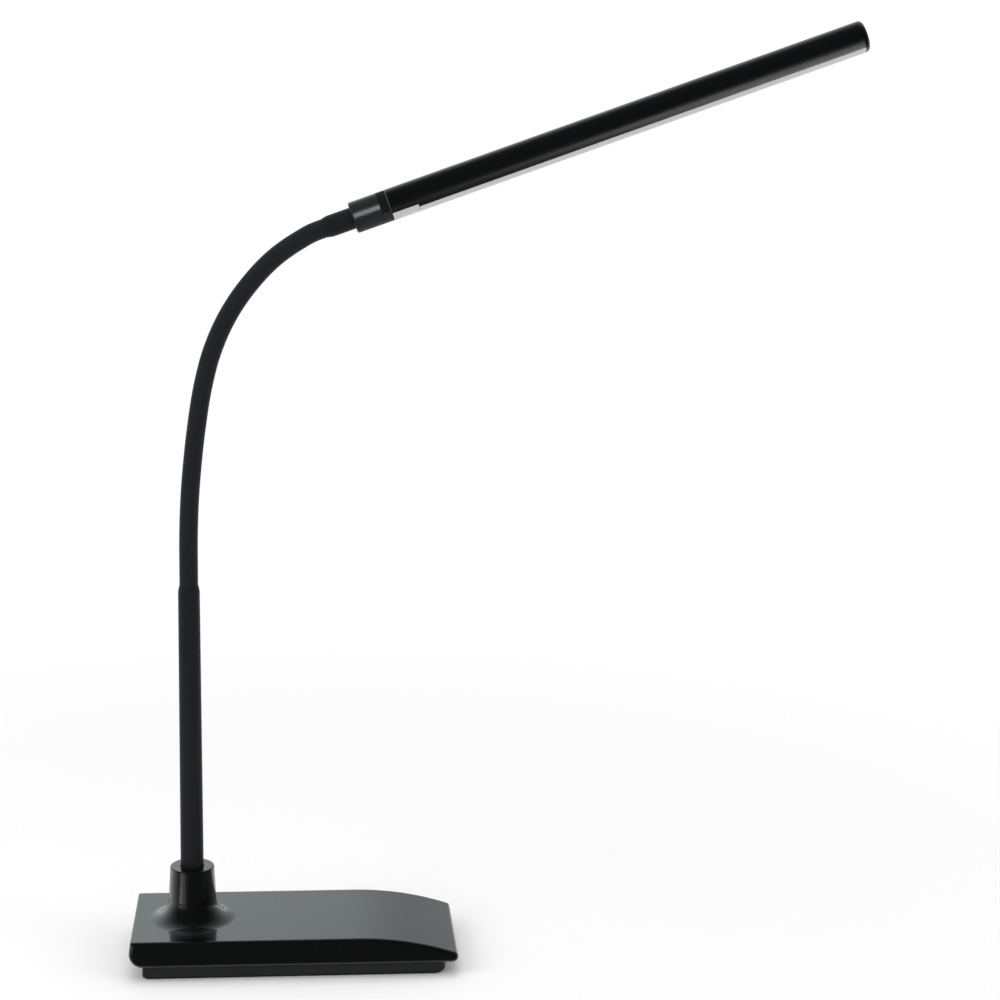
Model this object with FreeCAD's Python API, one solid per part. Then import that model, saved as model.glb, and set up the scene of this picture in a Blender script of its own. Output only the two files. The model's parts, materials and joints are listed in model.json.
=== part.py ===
"""Gooseneck desk lamp: a weighted base, a rigid lower stem, a bending neck and a slim bar-shaped LED head.

Frame: millimetres, +Z up, +X from the stem towards the head, +Y to the back.
The origin is the centre of the base's footprint, on the surface that the lamp stands on.
Each function below makes one sub-part, and the last lines write every sub-part to parts/NAME.step.
"""

import FreeCAD, Part
import math
import os

from FreeCAD import Placement, Rotation, Vector

# Base cover
BASE_LEFT_X = -95.2
BASE_DEPTH = 82.0
BASE_TOP_Z = 24.0
COVER_BOTTOM_Z = 6.8
COVER_WALL = 2.2
COVER_EDGE_RADIUS = 2.6
COVER_CORNER_RADIUS = 1.0
LEFT_WALL_LEAN_DEG = 7.0
LEFT_END_RADIUS = 8.0
NOSE_START_X = 36.5
NOSE_RADIUS = 175.0
NOSE_END_X = 93.6
NOSE_TIP_RADIUS = 3.0
RIGHT_END_RADIUS = 5.4

# Flared socket that carries the stem
STEM_X = -60.0
SOCKET_TOP_Z = 56.0
SOCKET_TOP_RADIUS = 13.0
SOCKET_WAIST_Z = 36.0
SOCKET_WAIST_RADIUS = 14.0
SOCKET_FLARE_RADIUS = 12.0
SOCKET_LIP_RADIUS = 0.8
SOCKET_WALL = 2.4
SOCKET_COLLAR_DEPTH = 8.0
SOCKET_CONE = 2.0

# Tray, ballast and pad under the cover
PAD_THICKNESS = 1.2
PAD_INSET = 1.5
TRAY_LEFT_X = -87.8
TRAY_RIGHT_X = 88.4
TRAY_HALF_DEPTH = 37.0
TRAY_LEFT_CORNER = 2.5
TRAY_RIGHT_CORNER = 7.0
TRAY_WALL = 2.4
TRAY_FLOOR_TOP_Z = 3.0
TRAY_TOP_Z = 9.0
TRAY_GAP = 0.2
BALLAST_BOTTOM_Z = 3.1
BALLAST_TOP_Z = 12.0
BALLAST_GAP = 0.4
BALLAST_POST_GAP = 0.6

# Fasteners of the base
SCREW_PLACES = [(-80.0, -27.0), (-80.0, 27.0), (78.0, -27.0), (78.0, 27.0)]
SCREW_SHANK_RADIUS = 1.4
SCREW_CLEARANCE = 0.2
SCREW_DRIVE = (3.0, 0.8, 0.9)
SCREW_HEAD_RADIUS = 2.7
SCREW_HEAD_Z = 1.4
SCREW_SEAT_Z = 3.2
SCREW_TIP_Z = 13.0
POST_BOTTOM_Z = 5.2
POST_RADIUS = 3.2
BOSS_RADIUS = 4.2

# Stem and its clamp under the ballast
STEM_BOTTOM_Z = BALLAST_TOP_Z
STEM_BOTTOM_RADIUS = 6.9
STEM_SHOULDER_Z = 222.6
STEM_SHOULDER_RADIUS = 6.24
STEM_TOP_Z = 226.0
STEM_TOP_RADIUS = 5.55
STEM_BORE_RADIUS = 5.55
STEM_LEDGE_GAP = 4.0
STEM_LEDGE_RISE = 2.0
LEAD_WINDOW_RADIUS = 1.4
SOCKET_FIT = 0.2
NIPPLE_THREAD_RADIUS = 5.0
NIPPLE_BORE_RADIUS = 3.2
NIPPLE_GAP = 0.02
NIPPLE_BOTTOM_Z = 3.4
NIPPLE_TOP_Z = 40.0
CLAMP_SHELF_Z = 8.6
CLAMP_POCKET_RADIUS = 10.0
WASHER_THICKNESS = 1.2
WASHER_RADIUS = 9.4
NUT_ACROSS_FLATS = 14.0

# Bending neck: its bend points lie NECK_PITCH apart, and the first and last lengths are half as long
NECK_START_Z = 224.0
NECK_PITCH = 21.5
NECK_LENGTH_TURNS_DEG = [0, 1, 3, 2, 2, 3, 8, 10, 10, 9, 15, 7]
NECK_RADIUS = 5.35
NECK_BORE_RADIUS = 3.8
NECK_CORE_RADIUS = 3.75
NECK_LEAD_RADIUS = 1.5
NECK_INSERT = 12.0
BALL_RADIUS = 4.7
BALL_CLEARANCE = 0.1
GAP_AT_AXIS = 0.05
GAP_MARGIN_DEG = 1.5

# What each bend point does: "bend" turns in the lamp's own plane, "sway" turns out of it.
# The two numbers are its limits in degrees from the stored pose.
BEND_POINTS = [
    ("bend", -20, 12),
    ("sway", -15, 15),
    ("bend", -20, 12),
    ("bend", -20, 12),
    ("sway", -15, 15),
    ("bend", -24, 10),
    ("bend", -28, 8),
    ("sway", -15, 15),
    ("bend", -30, 6),
    ("sway", -15, 15),
    ("bend", -26, 6),
]

# Head, in its own frame: distances run along its axis from the adapter's near end
FERRULE_EXPOSED = 16.9
FERRULE_INSERT = 13.0
FERRULE_RADIUS = 6.15
FERRULE_CHAMFER = (1.4, 0.65)
SET_SCREW_PLACE = 7.0
SET_SCREW_RADIUS = 1.5
SET_SCREW_RECESS = 1.6
SET_SCREW_SOCKET = (0.8, 2.0)
ADAPTER_LENGTH = 22.0
ADAPTER_RADIUS = 8.95
ADAPTER_EDGE_RADIUS = 1.0
SPIGOT_LENGTH = 12.0
TUBE_RADIUS = 9.05
TUBE_WALL = 1.4
TUBE_END = 303.7
WEB_LOW = 0.8
WEB_HIGH = 2.0
DIFFUSER_HALF_ANGLE = 49.0
END_BLOCK_HALF_ANGLE = 61.0
END_BLOCK_LENGTH = 15.4
RAIL_ANGLE = 9.0
RAIL_THICKNESS = 1.0
STRIP_GAP_ANGLE = 0.3
FIT_GAP = 0.05
TONGUE_START = (0.9, -6.4)
TONGUE_MIDDLE = (7.0, -3.9)
TONGUE_STEP = (17.0, -3.7)
TONGUE_STEP_RISE = 1.8
TONGUE_END_HEIGHT = -3.8
TONGUE_THICKNESS = 1.6
CAP_THICKNESS = 3.2
CAP_EDGE_RADIUS = 2.4
CAP_SPIGOT = 8.0
LED_COUNT = 28
LED_PITCH = 9.0
LED_FIRST_GAP = 3.0
LED_SIZE = (2.8, 3.5, 0.7)
LED_BOARD_WIDTH = 11.0
LED_BOARD_THICKNESS = 1.2
LED_BOARD_START_GAP = 4.0
LED_BOARD_END_GAP = 10.0
HEAD_WIRE_BORE_RADIUS = 2.5
HEAD_LEAD_RADIUS = 0.5

# Power inlet and electronics in the base
JACK_X = -25.0
JACK_Z = 16.4
JACK_COLLAR_RADIUS = 4.0
JACK_BORE_RADIUS = 2.8
JACK_BORE_DEPTH = 9.0
JACK_PIN_RADIUS = 1.0
JACK_GAP = 0.1
JACK_PROUD = 0.3
JACK_BODY = (9.0, 11.0, 8.4)
BOARD_SIZE = (56.0, 34.0, 1.6)
BOARD_CENTRE_X = 18.0
BOARD_BOTTOM_Z = 14.4
BOARD_SCREW_OFFSET = 24.0
BOARD_POST_RADIUS = 2.4
BOARD_SCREW_RADIUS = 1.0
BOARD_SCREW_DEPTH = 4.0
BOARD_SCREW_HEAD = (1.9, 1.2)
BOARD_HOLE_RADIUS = 1.2
TOUCH_PAD_RADIUS = 8.0
TOUCH_PAD_THICKNESS = 0.3
LEAD_RADIUS = 0.9
LEAD_BEND_RADIUS = 4.0
LEAD_LEVEL = BOARD_BOTTOM_Z + 1

# Parts on the driver board: low corner and high corner from the board's centre, and height
DRIVER_BLOCKS = [
    ((-18.0, -13.0), (-10.0, -5.0), 4.0),
    ((-4.0, -12.0), (4.0, -7.0), 1.4),
    ((8.0, -12.0), (14.0, -8.0), 2.0),
    ((8.0, 6.0), (18.0, 13.0), 3.0),
]
CAPACITOR_PLACE = (-14.0, 9.0)
CAPACITOR_SIZE = (3.0, 5.0)

X_AXIS = Vector(1, 0, 0)
Y_AXIS = Vector(0, 1, 0)
Z_AXIS = Vector(0, 0, 1)


def block(low, high):
    """A box between two corners."""
    size = Vector(*high) - Vector(*low)
    return Part.makeBox(size.x, size.y, size.z, Vector(*low))


def rounded_plate(x0, x1, half_depth, z0, z1, left_radius, right_radius):
    """A plate that is symmetric about the XZ plane, with its own plan corner radius at each end."""
    y = half_depth
    k = math.sqrt(0.5)
    left, right = left_radius, right_radius
    corners = [
        (x1 - right, y, x1 - right + right * k, y - right + right * k, x1, y - right),
        (x1, right - y, x1 - right + right * k, right - y - right * k, x1 - right, -y),
        (x0 + left, -y, x0 + left - left * k, left - y - left * k, x0, left - y),
        (x0, y - left, x0 + left - left * k, y - left + left * k, x0 + left, y),
    ]
    edges = []
    for i, (ax, ay, mx, my, bx, by) in enumerate(corners):
        edges.append(Part.Arc(Vector(ax, ay, z0), Vector(mx, my, z0), Vector(bx, by, z0)).toShape())
        nx, ny = corners[(i + 1) % len(corners)][:2]
        edges.append(Part.LineSegment(Vector(bx, by, z0), Vector(nx, ny, z0)).toShape())
    return Part.Face(Part.Wire(edges)).extrude(Vector(0, 0, z1 - z0))


def about_stem(profile):
    """A solid turned about the stem's axis from (radius, z) corners."""
    points = [Vector(STEM_X + r, 0, z) for r, z in profile]
    face = Part.Face(Part.makePolygon(points + points[:1]))
    return face.revolve(Vector(STEM_X, 0, 0), Z_AXIS, 360)


def along_x(profile):
    """A solid turned about the X axis from (distance along X, radius) corners."""
    points = [Vector(s, 0, r) for s, r in profile]
    face = Part.Face(Part.makePolygon(points + points[:1]))
    return face.revolve(Vector(0, 0, 0), X_AXIS, 360)


def fused(shapes):
    """One solid made of overlapping shapes."""
    whole = shapes[0]
    for shape in shapes[1:]:
        whole = whole.fuse(shape)
    return whole.removeSplitter()


def without(shape, cutters):
    """The shape less every cutter."""
    for cutter in cutters:
        shape = shape.cut(cutter)
    return shape


# Base


def nose_drop(x):
    """How far the cover's top lies under its flat height at x."""
    reach = max(0.0, x - NOSE_START_X)
    return NOSE_RADIUS - math.sqrt(NOSE_RADIUS**2 - reach**2)


def on_arc(centre, radius, angle):
    """The point of a side-view arc at an angle from straight up, towards +X."""
    return centre + Vector(radius * math.sin(angle), 0, radius * math.cos(angle))


def side_arc(centre, radius, first, last):
    """A side-view arc between two angles from straight up."""
    ends = [on_arc(centre, radius, angle) for angle in (first, (first + last) / 2, last)]
    return Part.Arc(*ends).toShape()


def side_line(start, end):
    """A straight edge."""
    return Part.LineSegment(start, end).toShape()


def cover_side(inset):
    """The cover's side view, shrunk by inset: flat on top, a long nose to the right, rounded lower ends."""
    slope = math.asin((NOSE_END_X - NOSE_START_X) / NOSE_RADIUS)
    nose = Vector(NOSE_START_X, 0, BASE_TOP_Z - NOSE_RADIUS)
    tip = on_arc(nose, NOSE_RADIUS - NOSE_TIP_RADIUS, slope)
    step = RIGHT_END_RADIUS - NOSE_TIP_RADIUS
    steep = math.acos((tip.z - COVER_BOTTOM_Z - RIGHT_END_RADIUS) / step)
    right = on_arc(tip, -step, steep)
    left = Vector(BASE_LEFT_X + LEFT_END_RADIUS, 0, COVER_BOTTOM_Z + LEFT_END_RADIUS)
    lean = math.radians(LEFT_WALL_LEAN_DEG)
    wall_foot = on_arc(left, LEFT_END_RADIUS - inset, lean - math.pi / 2)
    top = BASE_TOP_Z - inset
    corner = Vector(wall_foot.x + (top - wall_foot.z) * math.tan(lean), 0, top)
    right_low = on_arc(right, RIGHT_END_RADIUS - inset, math.pi)
    left_low = on_arc(left, LEFT_END_RADIUS - inset, math.pi)
    edges = [
        side_line(corner, Vector(NOSE_START_X, 0, top)),
        side_arc(nose, NOSE_RADIUS - inset, 0, slope),
        side_arc(tip, NOSE_TIP_RADIUS - inset, slope, steep),
        side_arc(right, RIGHT_END_RADIUS - inset, steep, math.pi),
        side_line(right_low, left_low),
        side_arc(left, LEFT_END_RADIUS - inset, math.pi, 3 * math.pi / 2 + lean),
        side_line(wall_foot, corner),
    ]
    return Part.Wire(edges)


def cover_form(inset):
    """The solid inside the cover's outline, shrunk by inset."""
    half = BASE_DEPTH / 2 - inset
    form = Part.Face(cover_side(inset)).extrude(Vector(0, 2 * half, 0))
    form.translate(Vector(0, -half, 0))
    return form


def softened_cover():
    """The cover's outside with the edges of its front and back faces rounded, and its top left edge eased."""
    form = cover_form(0.0)
    outlines = [edge for edge in form.Edges if edge.BoundBox.YLength < 0.001]
    rounded = form.makeFillet(COVER_EDGE_RADIUS, outlines)
    top_left = []
    for edge in rounded.Edges:
        box = edge.BoundBox
        if box.YLength > BASE_DEPTH / 2 and box.ZMin > BASE_TOP_Z - 0.01 and box.XMax < STEM_X:
            top_left.append(edge)
    return rounded.makeFillet(COVER_CORNER_RADIUS, top_left)


def socket_flare():
    """The flared socket, as a solid turned about the stem's axis."""
    lip = SOCKET_LIP_RADIUS
    foot_radius = SOCKET_WAIST_RADIUS + SOCKET_FLARE_RADIUS
    k = math.sqrt(0.5)
    low = BASE_TOP_Z - COVER_WALL / 2
    centre = Vector(STEM_X + foot_radius, 0, BASE_TOP_Z + SOCKET_FLARE_RADIUS)
    waist = Vector(STEM_X + SOCKET_WAIST_RADIUS, 0, SOCKET_WAIST_Z)
    foot = Vector(STEM_X + foot_radius, 0, BASE_TOP_Z)
    middle = centre + Vector(-k * SOCKET_FLARE_RADIUS, 0, -k * SOCKET_FLARE_RADIUS)
    rim = Vector(STEM_X + SOCKET_TOP_RADIUS, 0, SOCKET_TOP_Z - lip)
    rim_mid = Vector(STEM_X + SOCKET_TOP_RADIUS - lip * (1 - k), 0, SOCKET_TOP_Z - lip * (1 - k))
    rim_top = Vector(STEM_X + SOCKET_TOP_RADIUS - lip, 0, SOCKET_TOP_Z)
    axis_top = Vector(STEM_X, 0, SOCKET_TOP_Z)
    axis_low = Vector(STEM_X, 0, low)
    foot_low = Vector(STEM_X + foot_radius, 0, low)
    edges = [
        Part.LineSegment(axis_low, foot_low).toShape(),
        Part.LineSegment(foot_low, foot).toShape(),
        Part.Arc(foot, middle, waist).toShape(),
        Part.LineSegment(waist, rim).toShape(),
        Part.Arc(rim, rim_mid, rim_top).toShape(),
        Part.LineSegment(rim_top, axis_top).toShape(),
        Part.LineSegment(axis_top, axis_low).toShape(),
    ]
    return Part.Face(Part.Wire(edges)).revolve(Vector(STEM_X, 0, 0), Z_AXIS, 360)


def stem_radius(z):
    """The stem's outer radius at a height, on its slight taper."""
    share = (z - STEM_BOTTOM_Z) / (STEM_SHOULDER_Z - STEM_BOTTOM_Z)
    return STEM_BOTTOM_RADIUS + share * (STEM_SHOULDER_RADIUS - STEM_BOTTOM_RADIUS)


def socket_bore():
    """What is cut out of the socket: a close bore at its top and bottom, and a relieved middle."""
    low = BASE_TOP_Z - 2 * COVER_WALL
    collar_low = SOCKET_TOP_Z - SOCKET_COLLAR_DEPTH
    cone = SOCKET_CONE
    relieved = SOCKET_TOP_RADIUS - SOCKET_WALL
    near_foot = stem_radius(low) + SOCKET_FIT
    near_top = stem_radius(collar_low) + SOCKET_FIT
    return about_stem(
        [
            (0, low),
            (near_foot, low),
            (near_foot, BASE_TOP_Z + cone),
            (relieved, BASE_TOP_Z + 2 * cone),
            (relieved, collar_low),
            (near_top, collar_low + cone),
            (near_top, SOCKET_TOP_Z + 1),
            (0, SOCKET_TOP_Z + 1),
        ]
    )


def board_screw_places():
    """Centres of the two screws that hold the driver board."""
    return [BOARD_CENTRE_X - BOARD_SCREW_OFFSET, BOARD_CENTRE_X + BOARD_SCREW_OFFSET]


def base_cover():
    """Moulded cover with its socket, four screw posts and two board posts."""
    opening = tray_plate(-TRAY_GAP, 0.0, BASE_TOP_Z / 2)
    shell = without(softened_cover(), [cover_form(COVER_WALL), opening]).fuse(socket_flare())
    posts = []
    for x, y in SCREW_PLACES:
        height = BASE_TOP_Z - nose_drop(x) - COVER_WALL / 2 - POST_BOTTOM_Z
        posts.append(Part.makeCylinder(POST_RADIUS, height, Vector(x, y, POST_BOTTOM_Z)))
    board_top = BOARD_BOTTOM_Z + BOARD_SIZE[2]
    for x in board_screw_places():
        height = BASE_TOP_Z - nose_drop(x) - COVER_WALL / 2 - board_top
        posts.append(Part.makeCylinder(BOARD_POST_RADIUS, height, Vector(x, 0, board_top)))
    bores = [socket_bore()]
    for x, y in SCREW_PLACES:
        depth = SCREW_TIP_Z + 0.5 - POST_BOTTOM_Z
        bores.append(Part.makeCylinder(SCREW_SHANK_RADIUS, depth, Vector(x, y, POST_BOTTOM_Z)))
    for x in board_screw_places():
        bores.append(Part.makeCylinder(BOARD_SCREW_RADIUS, BOARD_SCREW_DEPTH, Vector(x, 0, board_top)))
    hole_start = Vector(JACK_X, BASE_DEPTH / 2 - 2 * COVER_WALL, JACK_Z)
    jack_hole = Part.makeCylinder(JACK_COLLAR_RADIUS + JACK_GAP, 3 * COVER_WALL, hole_start, Y_AXIS)
    return without(fused([shell] + posts), bores + [jack_hole])


def tray_plate(inset, z0, z1):
    """A plate with the tray's plan outline, shrunk by inset."""
    sharpest = 0.5
    left = max(sharpest, TRAY_LEFT_CORNER - inset)
    right = max(sharpest, TRAY_RIGHT_CORNER - inset)
    return rounded_plate(
        TRAY_LEFT_X + inset, TRAY_RIGHT_X - inset, TRAY_HALF_DEPTH - inset, z0, z1, left, right
    )


def base_tray():
    """Tray that closes the base: a pan whose rim stands in the cover's opening."""
    pan = tray_plate(0.0, PAD_THICKNESS, TRAY_TOP_Z)
    tray = pan.cut(tray_plate(TRAY_WALL, TRAY_FLOOR_TOP_Z, TRAY_TOP_Z + 1))
    bosses = [
        Part.makeCylinder(BOSS_RADIUS, POST_BOTTOM_Z - PAD_THICKNESS, Vector(x, y, PAD_THICKNESS))
        for x, y in SCREW_PLACES
    ]
    holes = []
    for x, y in SCREW_PLACES:
        holes.append(Part.makeCylinder(SCREW_SHANK_RADIUS + SCREW_CLEARANCE, SCREW_TIP_Z, Vector(x, y, 0)))
        holes.append(Part.makeCylinder(SCREW_HEAD_RADIUS + SCREW_CLEARANCE, SCREW_SEAT_Z, Vector(x, y, 0)))
    return without(fused([tray] + bosses), holes)


def ballast_weight():
    """Cast weight that fills the tray, with room for the screw posts and the stem's clamp."""
    slab = tray_plate(TRAY_WALL + BALLAST_GAP, BALLAST_BOTTOM_Z, BALLAST_TOP_Z)
    post_hole = BOSS_RADIUS + BALLAST_POST_GAP
    cutters = [Part.makeCylinder(post_hole, BASE_TOP_Z, Vector(x, y, 0)) for x, y in SCREW_PLACES]
    cutters.append(Part.makeCylinder(CLAMP_POCKET_RADIUS, CLAMP_SHELF_Z, Vector(STEM_X, 0, 0)))
    nipple_hole = NIPPLE_THREAD_RADIUS + SCREW_CLEARANCE
    cutters.append(Part.makeCylinder(nipple_hole, BASE_TOP_Z, Vector(STEM_X, 0, 0)))
    return without(slab, cutters)


def non_slip_pad():
    """Foam pad glued under the tray: the lamp stands on it."""
    return tray_plate(PAD_INSET, 0.0, PAD_THICKNESS)


def cover_screws():
    """Four screws from below, through the tray into the cover's posts."""
    length, width, depth = SCREW_DRIVE
    solids = []
    for x, y in SCREW_PLACES:
        head = Part.makeCylinder(SCREW_HEAD_RADIUS, SCREW_SEAT_Z - SCREW_HEAD_Z, Vector(x, y, SCREW_HEAD_Z))
        shank = Part.makeCylinder(SCREW_SHANK_RADIUS, SCREW_TIP_Z - SCREW_SEAT_Z, Vector(x, y, SCREW_SEAT_Z))
        drive = []
        for a, b in ((length / 2, width / 2), (width / 2, length / 2)):
            drive.append(block((x - a, y - b, 0), (x + a, y + b, SCREW_HEAD_Z + depth)))
        solids.append(without(head.fuse(shank), drive))
    return Part.makeCompound(solids)


def power_jack():
    """Round low-voltage inlet in the back wall, with its centre pin."""
    width, length, height = JACK_BODY
    wall_inside = BASE_DEPTH / 2 - COVER_WALL - JACK_GAP
    body = block(
        (JACK_X - width / 2, wall_inside - length, JACK_Z - height / 2),
        (JACK_X + width / 2, wall_inside, JACK_Z + height / 2),
    )
    mouth = BASE_DEPTH / 2 + JACK_PROUD
    collar = Part.makeCylinder(
        JACK_COLLAR_RADIUS, mouth - wall_inside + 1, Vector(JACK_X, wall_inside - 1, JACK_Z), Y_AXIS
    )
    floor_y = mouth - JACK_BORE_DEPTH
    bore = Part.makeCylinder(JACK_BORE_RADIUS, JACK_BORE_DEPTH + 1, Vector(JACK_X, floor_y, JACK_Z), Y_AXIS)
    pin = Part.makeCylinder(JACK_PIN_RADIUS, JACK_BORE_DEPTH, Vector(JACK_X, floor_y - 1, JACK_Z), Y_AXIS)
    return body.fuse(collar).cut(bore).fuse(pin)


def driver_board():
    """LED driver and touch controller on one board, hung from the cover's posts."""
    length, width, thickness = BOARD_SIZE
    top = BOARD_BOTTOM_Z + thickness
    centre = BOARD_CENTRE_X
    board = block((centre - length / 2, -width / 2, BOARD_BOTTOM_Z), (centre + length / 2, width / 2, top))
    parts = []
    for (x0, y0), (x1, y1), rise in DRIVER_BLOCKS:
        parts.append(block((centre + x0, y0, top), (centre + x1, y1, top + rise)))
    x, y = CAPACITOR_PLACE
    parts.append(Part.makeCylinder(*CAPACITOR_SIZE, Vector(centre + x, y, top)))
    holes = [Part.makeCylinder(BOARD_HOLE_RADIUS, BASE_TOP_Z, Vector(x, 0, 0)) for x in board_screw_places()]
    return without(fused([board] + parts), holes)


def board_screws():
    """Two small screws that hold the driver board to the cover."""
    head_radius, head_height = BOARD_SCREW_HEAD
    reach = BOARD_SIZE[2] + BOARD_SCREW_DEPTH - SCREW_CLEARANCE
    solids = []
    for x in board_screw_places():
        head = Part.makeCylinder(head_radius, head_height, Vector(x, 0, BOARD_BOTTOM_Z - head_height))
        shank = Part.makeCylinder(BOARD_SCREW_RADIUS, reach, Vector(x, 0, BOARD_BOTTOM_Z))
        solids.append(head.fuse(shank))
    return Part.makeCompound(solids)


def touch_electrode():
    """Copper disc under the cover's top: a finger above it switches and dims the lamp."""
    low = BASE_TOP_Z - COVER_WALL - TOUCH_PAD_THICKNESS
    return Part.makeCylinder(TOUCH_PAD_RADIUS, TOUCH_PAD_THICKNESS, Vector(BOARD_CENTRE_X, 0, low))


def contact_spring():
    """Contact spring between the board and the copper disc, as one small helix."""
    low = BOARD_BOTTOM_Z + BOARD_SIZE[2]
    high = BASE_TOP_Z - COVER_WALL - TOUCH_PAD_THICKNESS
    wire_radius = 0.3
    coil_radius = 2.6
    turns = 4
    height = high - low - 2 * wire_radius
    path = Part.makeLongHelix(height / turns, height, coil_radius)
    path.translate(Vector(BOARD_CENTRE_X, 0, low + wire_radius))
    start = path.Edges[0].valueAt(path.Edges[0].FirstParameter)
    circle = Part.Wire(Part.Circle(start, Y_AXIS, wire_radius).toShape())
    return Part.Wire(path.Edges).makePipeShell([circle], True, True)


def smooth_path(points, bend_radius):
    """Straight runs joined by tangent arcs, as one wire."""
    edges = []
    last = points[0]
    for i in range(1, len(points) - 1):
        into = (points[i] - points[i - 1]).normalize()
        out = (points[i + 1] - points[i]).normalize()
        turn = into.getAngle(out)
        reach = bend_radius * math.tan(turn / 2)
        a = points[i] - into * reach
        b = points[i] + out * reach
        inward = (out - into).normalize()
        centre = points[i] + inward * (bend_radius / math.cos(turn / 2))
        middle = centre - inward * bend_radius
        edges.append(Part.LineSegment(last, a).toShape())
        edges.append(Part.Arc(a, middle, b).toShape())
        last = b
    edges.append(Part.LineSegment(last, points[-1]).toShape())
    return Part.Wire(edges)


def lead(points):
    """A round insulated lead along a smooth path."""
    path = smooth_path([Vector(*p) for p in points], LEAD_BEND_RADIUS)
    start = Vector(*points[0])
    direction = Vector(*points[1]) - start
    circle = Part.Wire(Part.Circle(start, direction, LEAD_RADIUS).toShape())
    return path.makePipeShell([circle], True, True)


def base_leads():
    """Leads from the inlet to the board and from the board to the stem."""
    board_left = BOARD_CENTRE_X - BOARD_SIZE[0] / 2
    jack_back = BASE_DEPTH / 2 - COVER_WALL - JACK_GAP - JACK_BODY[1]
    stem_side = STEM_X + STEM_BOTTOM_RADIUS
    inlet_y = 8.0
    supply_y = -6.0
    slant_x = (-28.0, -40.0)
    corner = (JACK_X, inlet_y, LEAD_LEVEL)
    inlet = lead([(JACK_X, jack_back, LEAD_LEVEL), corner, (board_left, inlet_y, LEAD_LEVEL)])
    supply = lead(
        [
            (board_left, supply_y, LEAD_LEVEL),
            (slant_x[0], supply_y, LEAD_LEVEL),
            (slant_x[1], 0, LEAD_LEVEL),
            (stem_side, 0, LEAD_LEVEL),
        ]
    )
    return Part.makeCompound([inlet, supply])


# Stem


def lead_window():
    """Where the supply lead enters the stem's foot."""
    start = Vector(STEM_X, 0, LEAD_LEVEL)
    return Part.makeCylinder(LEAD_WINDOW_RADIUS, 2 * STEM_BOTTOM_RADIUS, start, X_AXIS)


def stem_tube():
    """Rigid lower stem: a slightly tapered tube with a chamfered top that holds the neck."""
    neck_bore = NECK_RADIUS + FIT_GAP
    ledge = NECK_START_Z - NECK_INSERT - STEM_LEDGE_GAP
    tube = about_stem(
        [
            (STEM_BORE_RADIUS, STEM_BOTTOM_Z),
            (STEM_BOTTOM_RADIUS, STEM_BOTTOM_Z),
            (STEM_SHOULDER_RADIUS, STEM_SHOULDER_Z),
            (STEM_TOP_RADIUS, STEM_TOP_Z),
            (neck_bore, STEM_TOP_Z),
            (neck_bore, ledge),
            (STEM_BORE_RADIUS, ledge - STEM_LEDGE_RISE),
        ]
    )
    return tube.cut(lead_window())


def stem_nipple():
    """Threaded nipple fixed in the stem's foot: it reaches down through the ballast."""
    shank = STEM_BORE_RADIUS - NIPPLE_GAP
    nipple = about_stem(
        [
            (NIPPLE_BORE_RADIUS, NIPPLE_BOTTOM_Z),
            (NIPPLE_THREAD_RADIUS, NIPPLE_BOTTOM_Z),
            (NIPPLE_THREAD_RADIUS, BALLAST_TOP_Z),
            (shank, BALLAST_TOP_Z),
            (shank, NIPPLE_TOP_Z),
            (NIPPLE_BORE_RADIUS, NIPPLE_TOP_Z),
        ]
    )
    return nipple.cut(lead_window())


def stem_washer():
    """Washer between the ballast and the lock nut."""
    low, high = CLAMP_SHELF_Z - WASHER_THICKNESS, CLAMP_SHELF_Z
    inner = NIPPLE_THREAD_RADIUS + SCREW_CLEARANCE / 2
    return about_stem([(inner, low), (WASHER_RADIUS, low), (WASHER_RADIUS, high), (inner, high)])


def stem_lock_nut():
    """Hexagon lock nut that clamps the stem to the ballast."""
    low = NIPPLE_BOTTOM_Z
    high = CLAMP_SHELF_Z - WASHER_THICKNESS
    corner = NUT_ACROSS_FLATS / math.sqrt(3)
    points = []
    for i in range(7):
        a = math.radians(60 * i)
        points.append(Vector(STEM_X + corner * math.cos(a), corner * math.sin(a), low))
    nut = Part.Face(Part.makePolygon(points)).extrude(Vector(0, 0, high - low))
    return nut.cut(Part.makeCylinder(NIPPLE_THREAD_RADIUS, high, Vector(STEM_X, 0, 0)))


# Neck


class Place:
    """A point on the neck's centreline and its lean from the vertical, in degrees towards +X."""

    def __init__(self, point, lean):
        self.point = point
        self.lean = lean
        a = math.radians(lean)
        self.ahead = Vector(math.sin(a), 0, math.cos(a))
        self.down = Vector(math.cos(a), 0, -math.sin(a))

    def further(self, length, turn):
        """The place at the end of an arc that starts here."""
        if turn == 0:
            return Place(self.point + self.ahead * length, self.lean)
        radius = length / math.radians(turn)
        end = Place(self.point, self.lean + turn)
        centre = self.point + self.down * radius
        return Place(centre - end.down * radius, end.lean)


def neck_places():
    """Start and end place of each rigid length of the neck."""
    places = [Place(Vector(STEM_X, 0, NECK_START_Z), 0)]
    last = len(NECK_LENGTH_TURNS_DEG) - 1
    for i, turn in enumerate(NECK_LENGTH_TURNS_DEG):
        length = NECK_PITCH / 2 if i in (0, last) else NECK_PITCH
        places.append(places[-1].further(length, turn))
    return places


PLACES = neck_places()


def bent_rod(index, radius):
    """A round rod along one rigid length of the neck."""
    start, end = PLACES[index], PLACES[index + 1]
    turn = NECK_LENGTH_TURNS_DEG[index]
    length = (end.point - start.point).Length
    if turn == 0:
        return Part.makeCylinder(radius, length, start.point, start.ahead)
    last = len(NECK_LENGTH_TURNS_DEG) - 1
    arc = NECK_PITCH / 2 if index in (0, last) else NECK_PITCH
    centre = start.point + start.down * (arc / math.radians(turn))
    disc = Part.Face(Part.Wire(Part.Circle(start.point, start.ahead, radius).toShape()))
    return disc.revolve(centre, Y_AXIS, turn)


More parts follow.
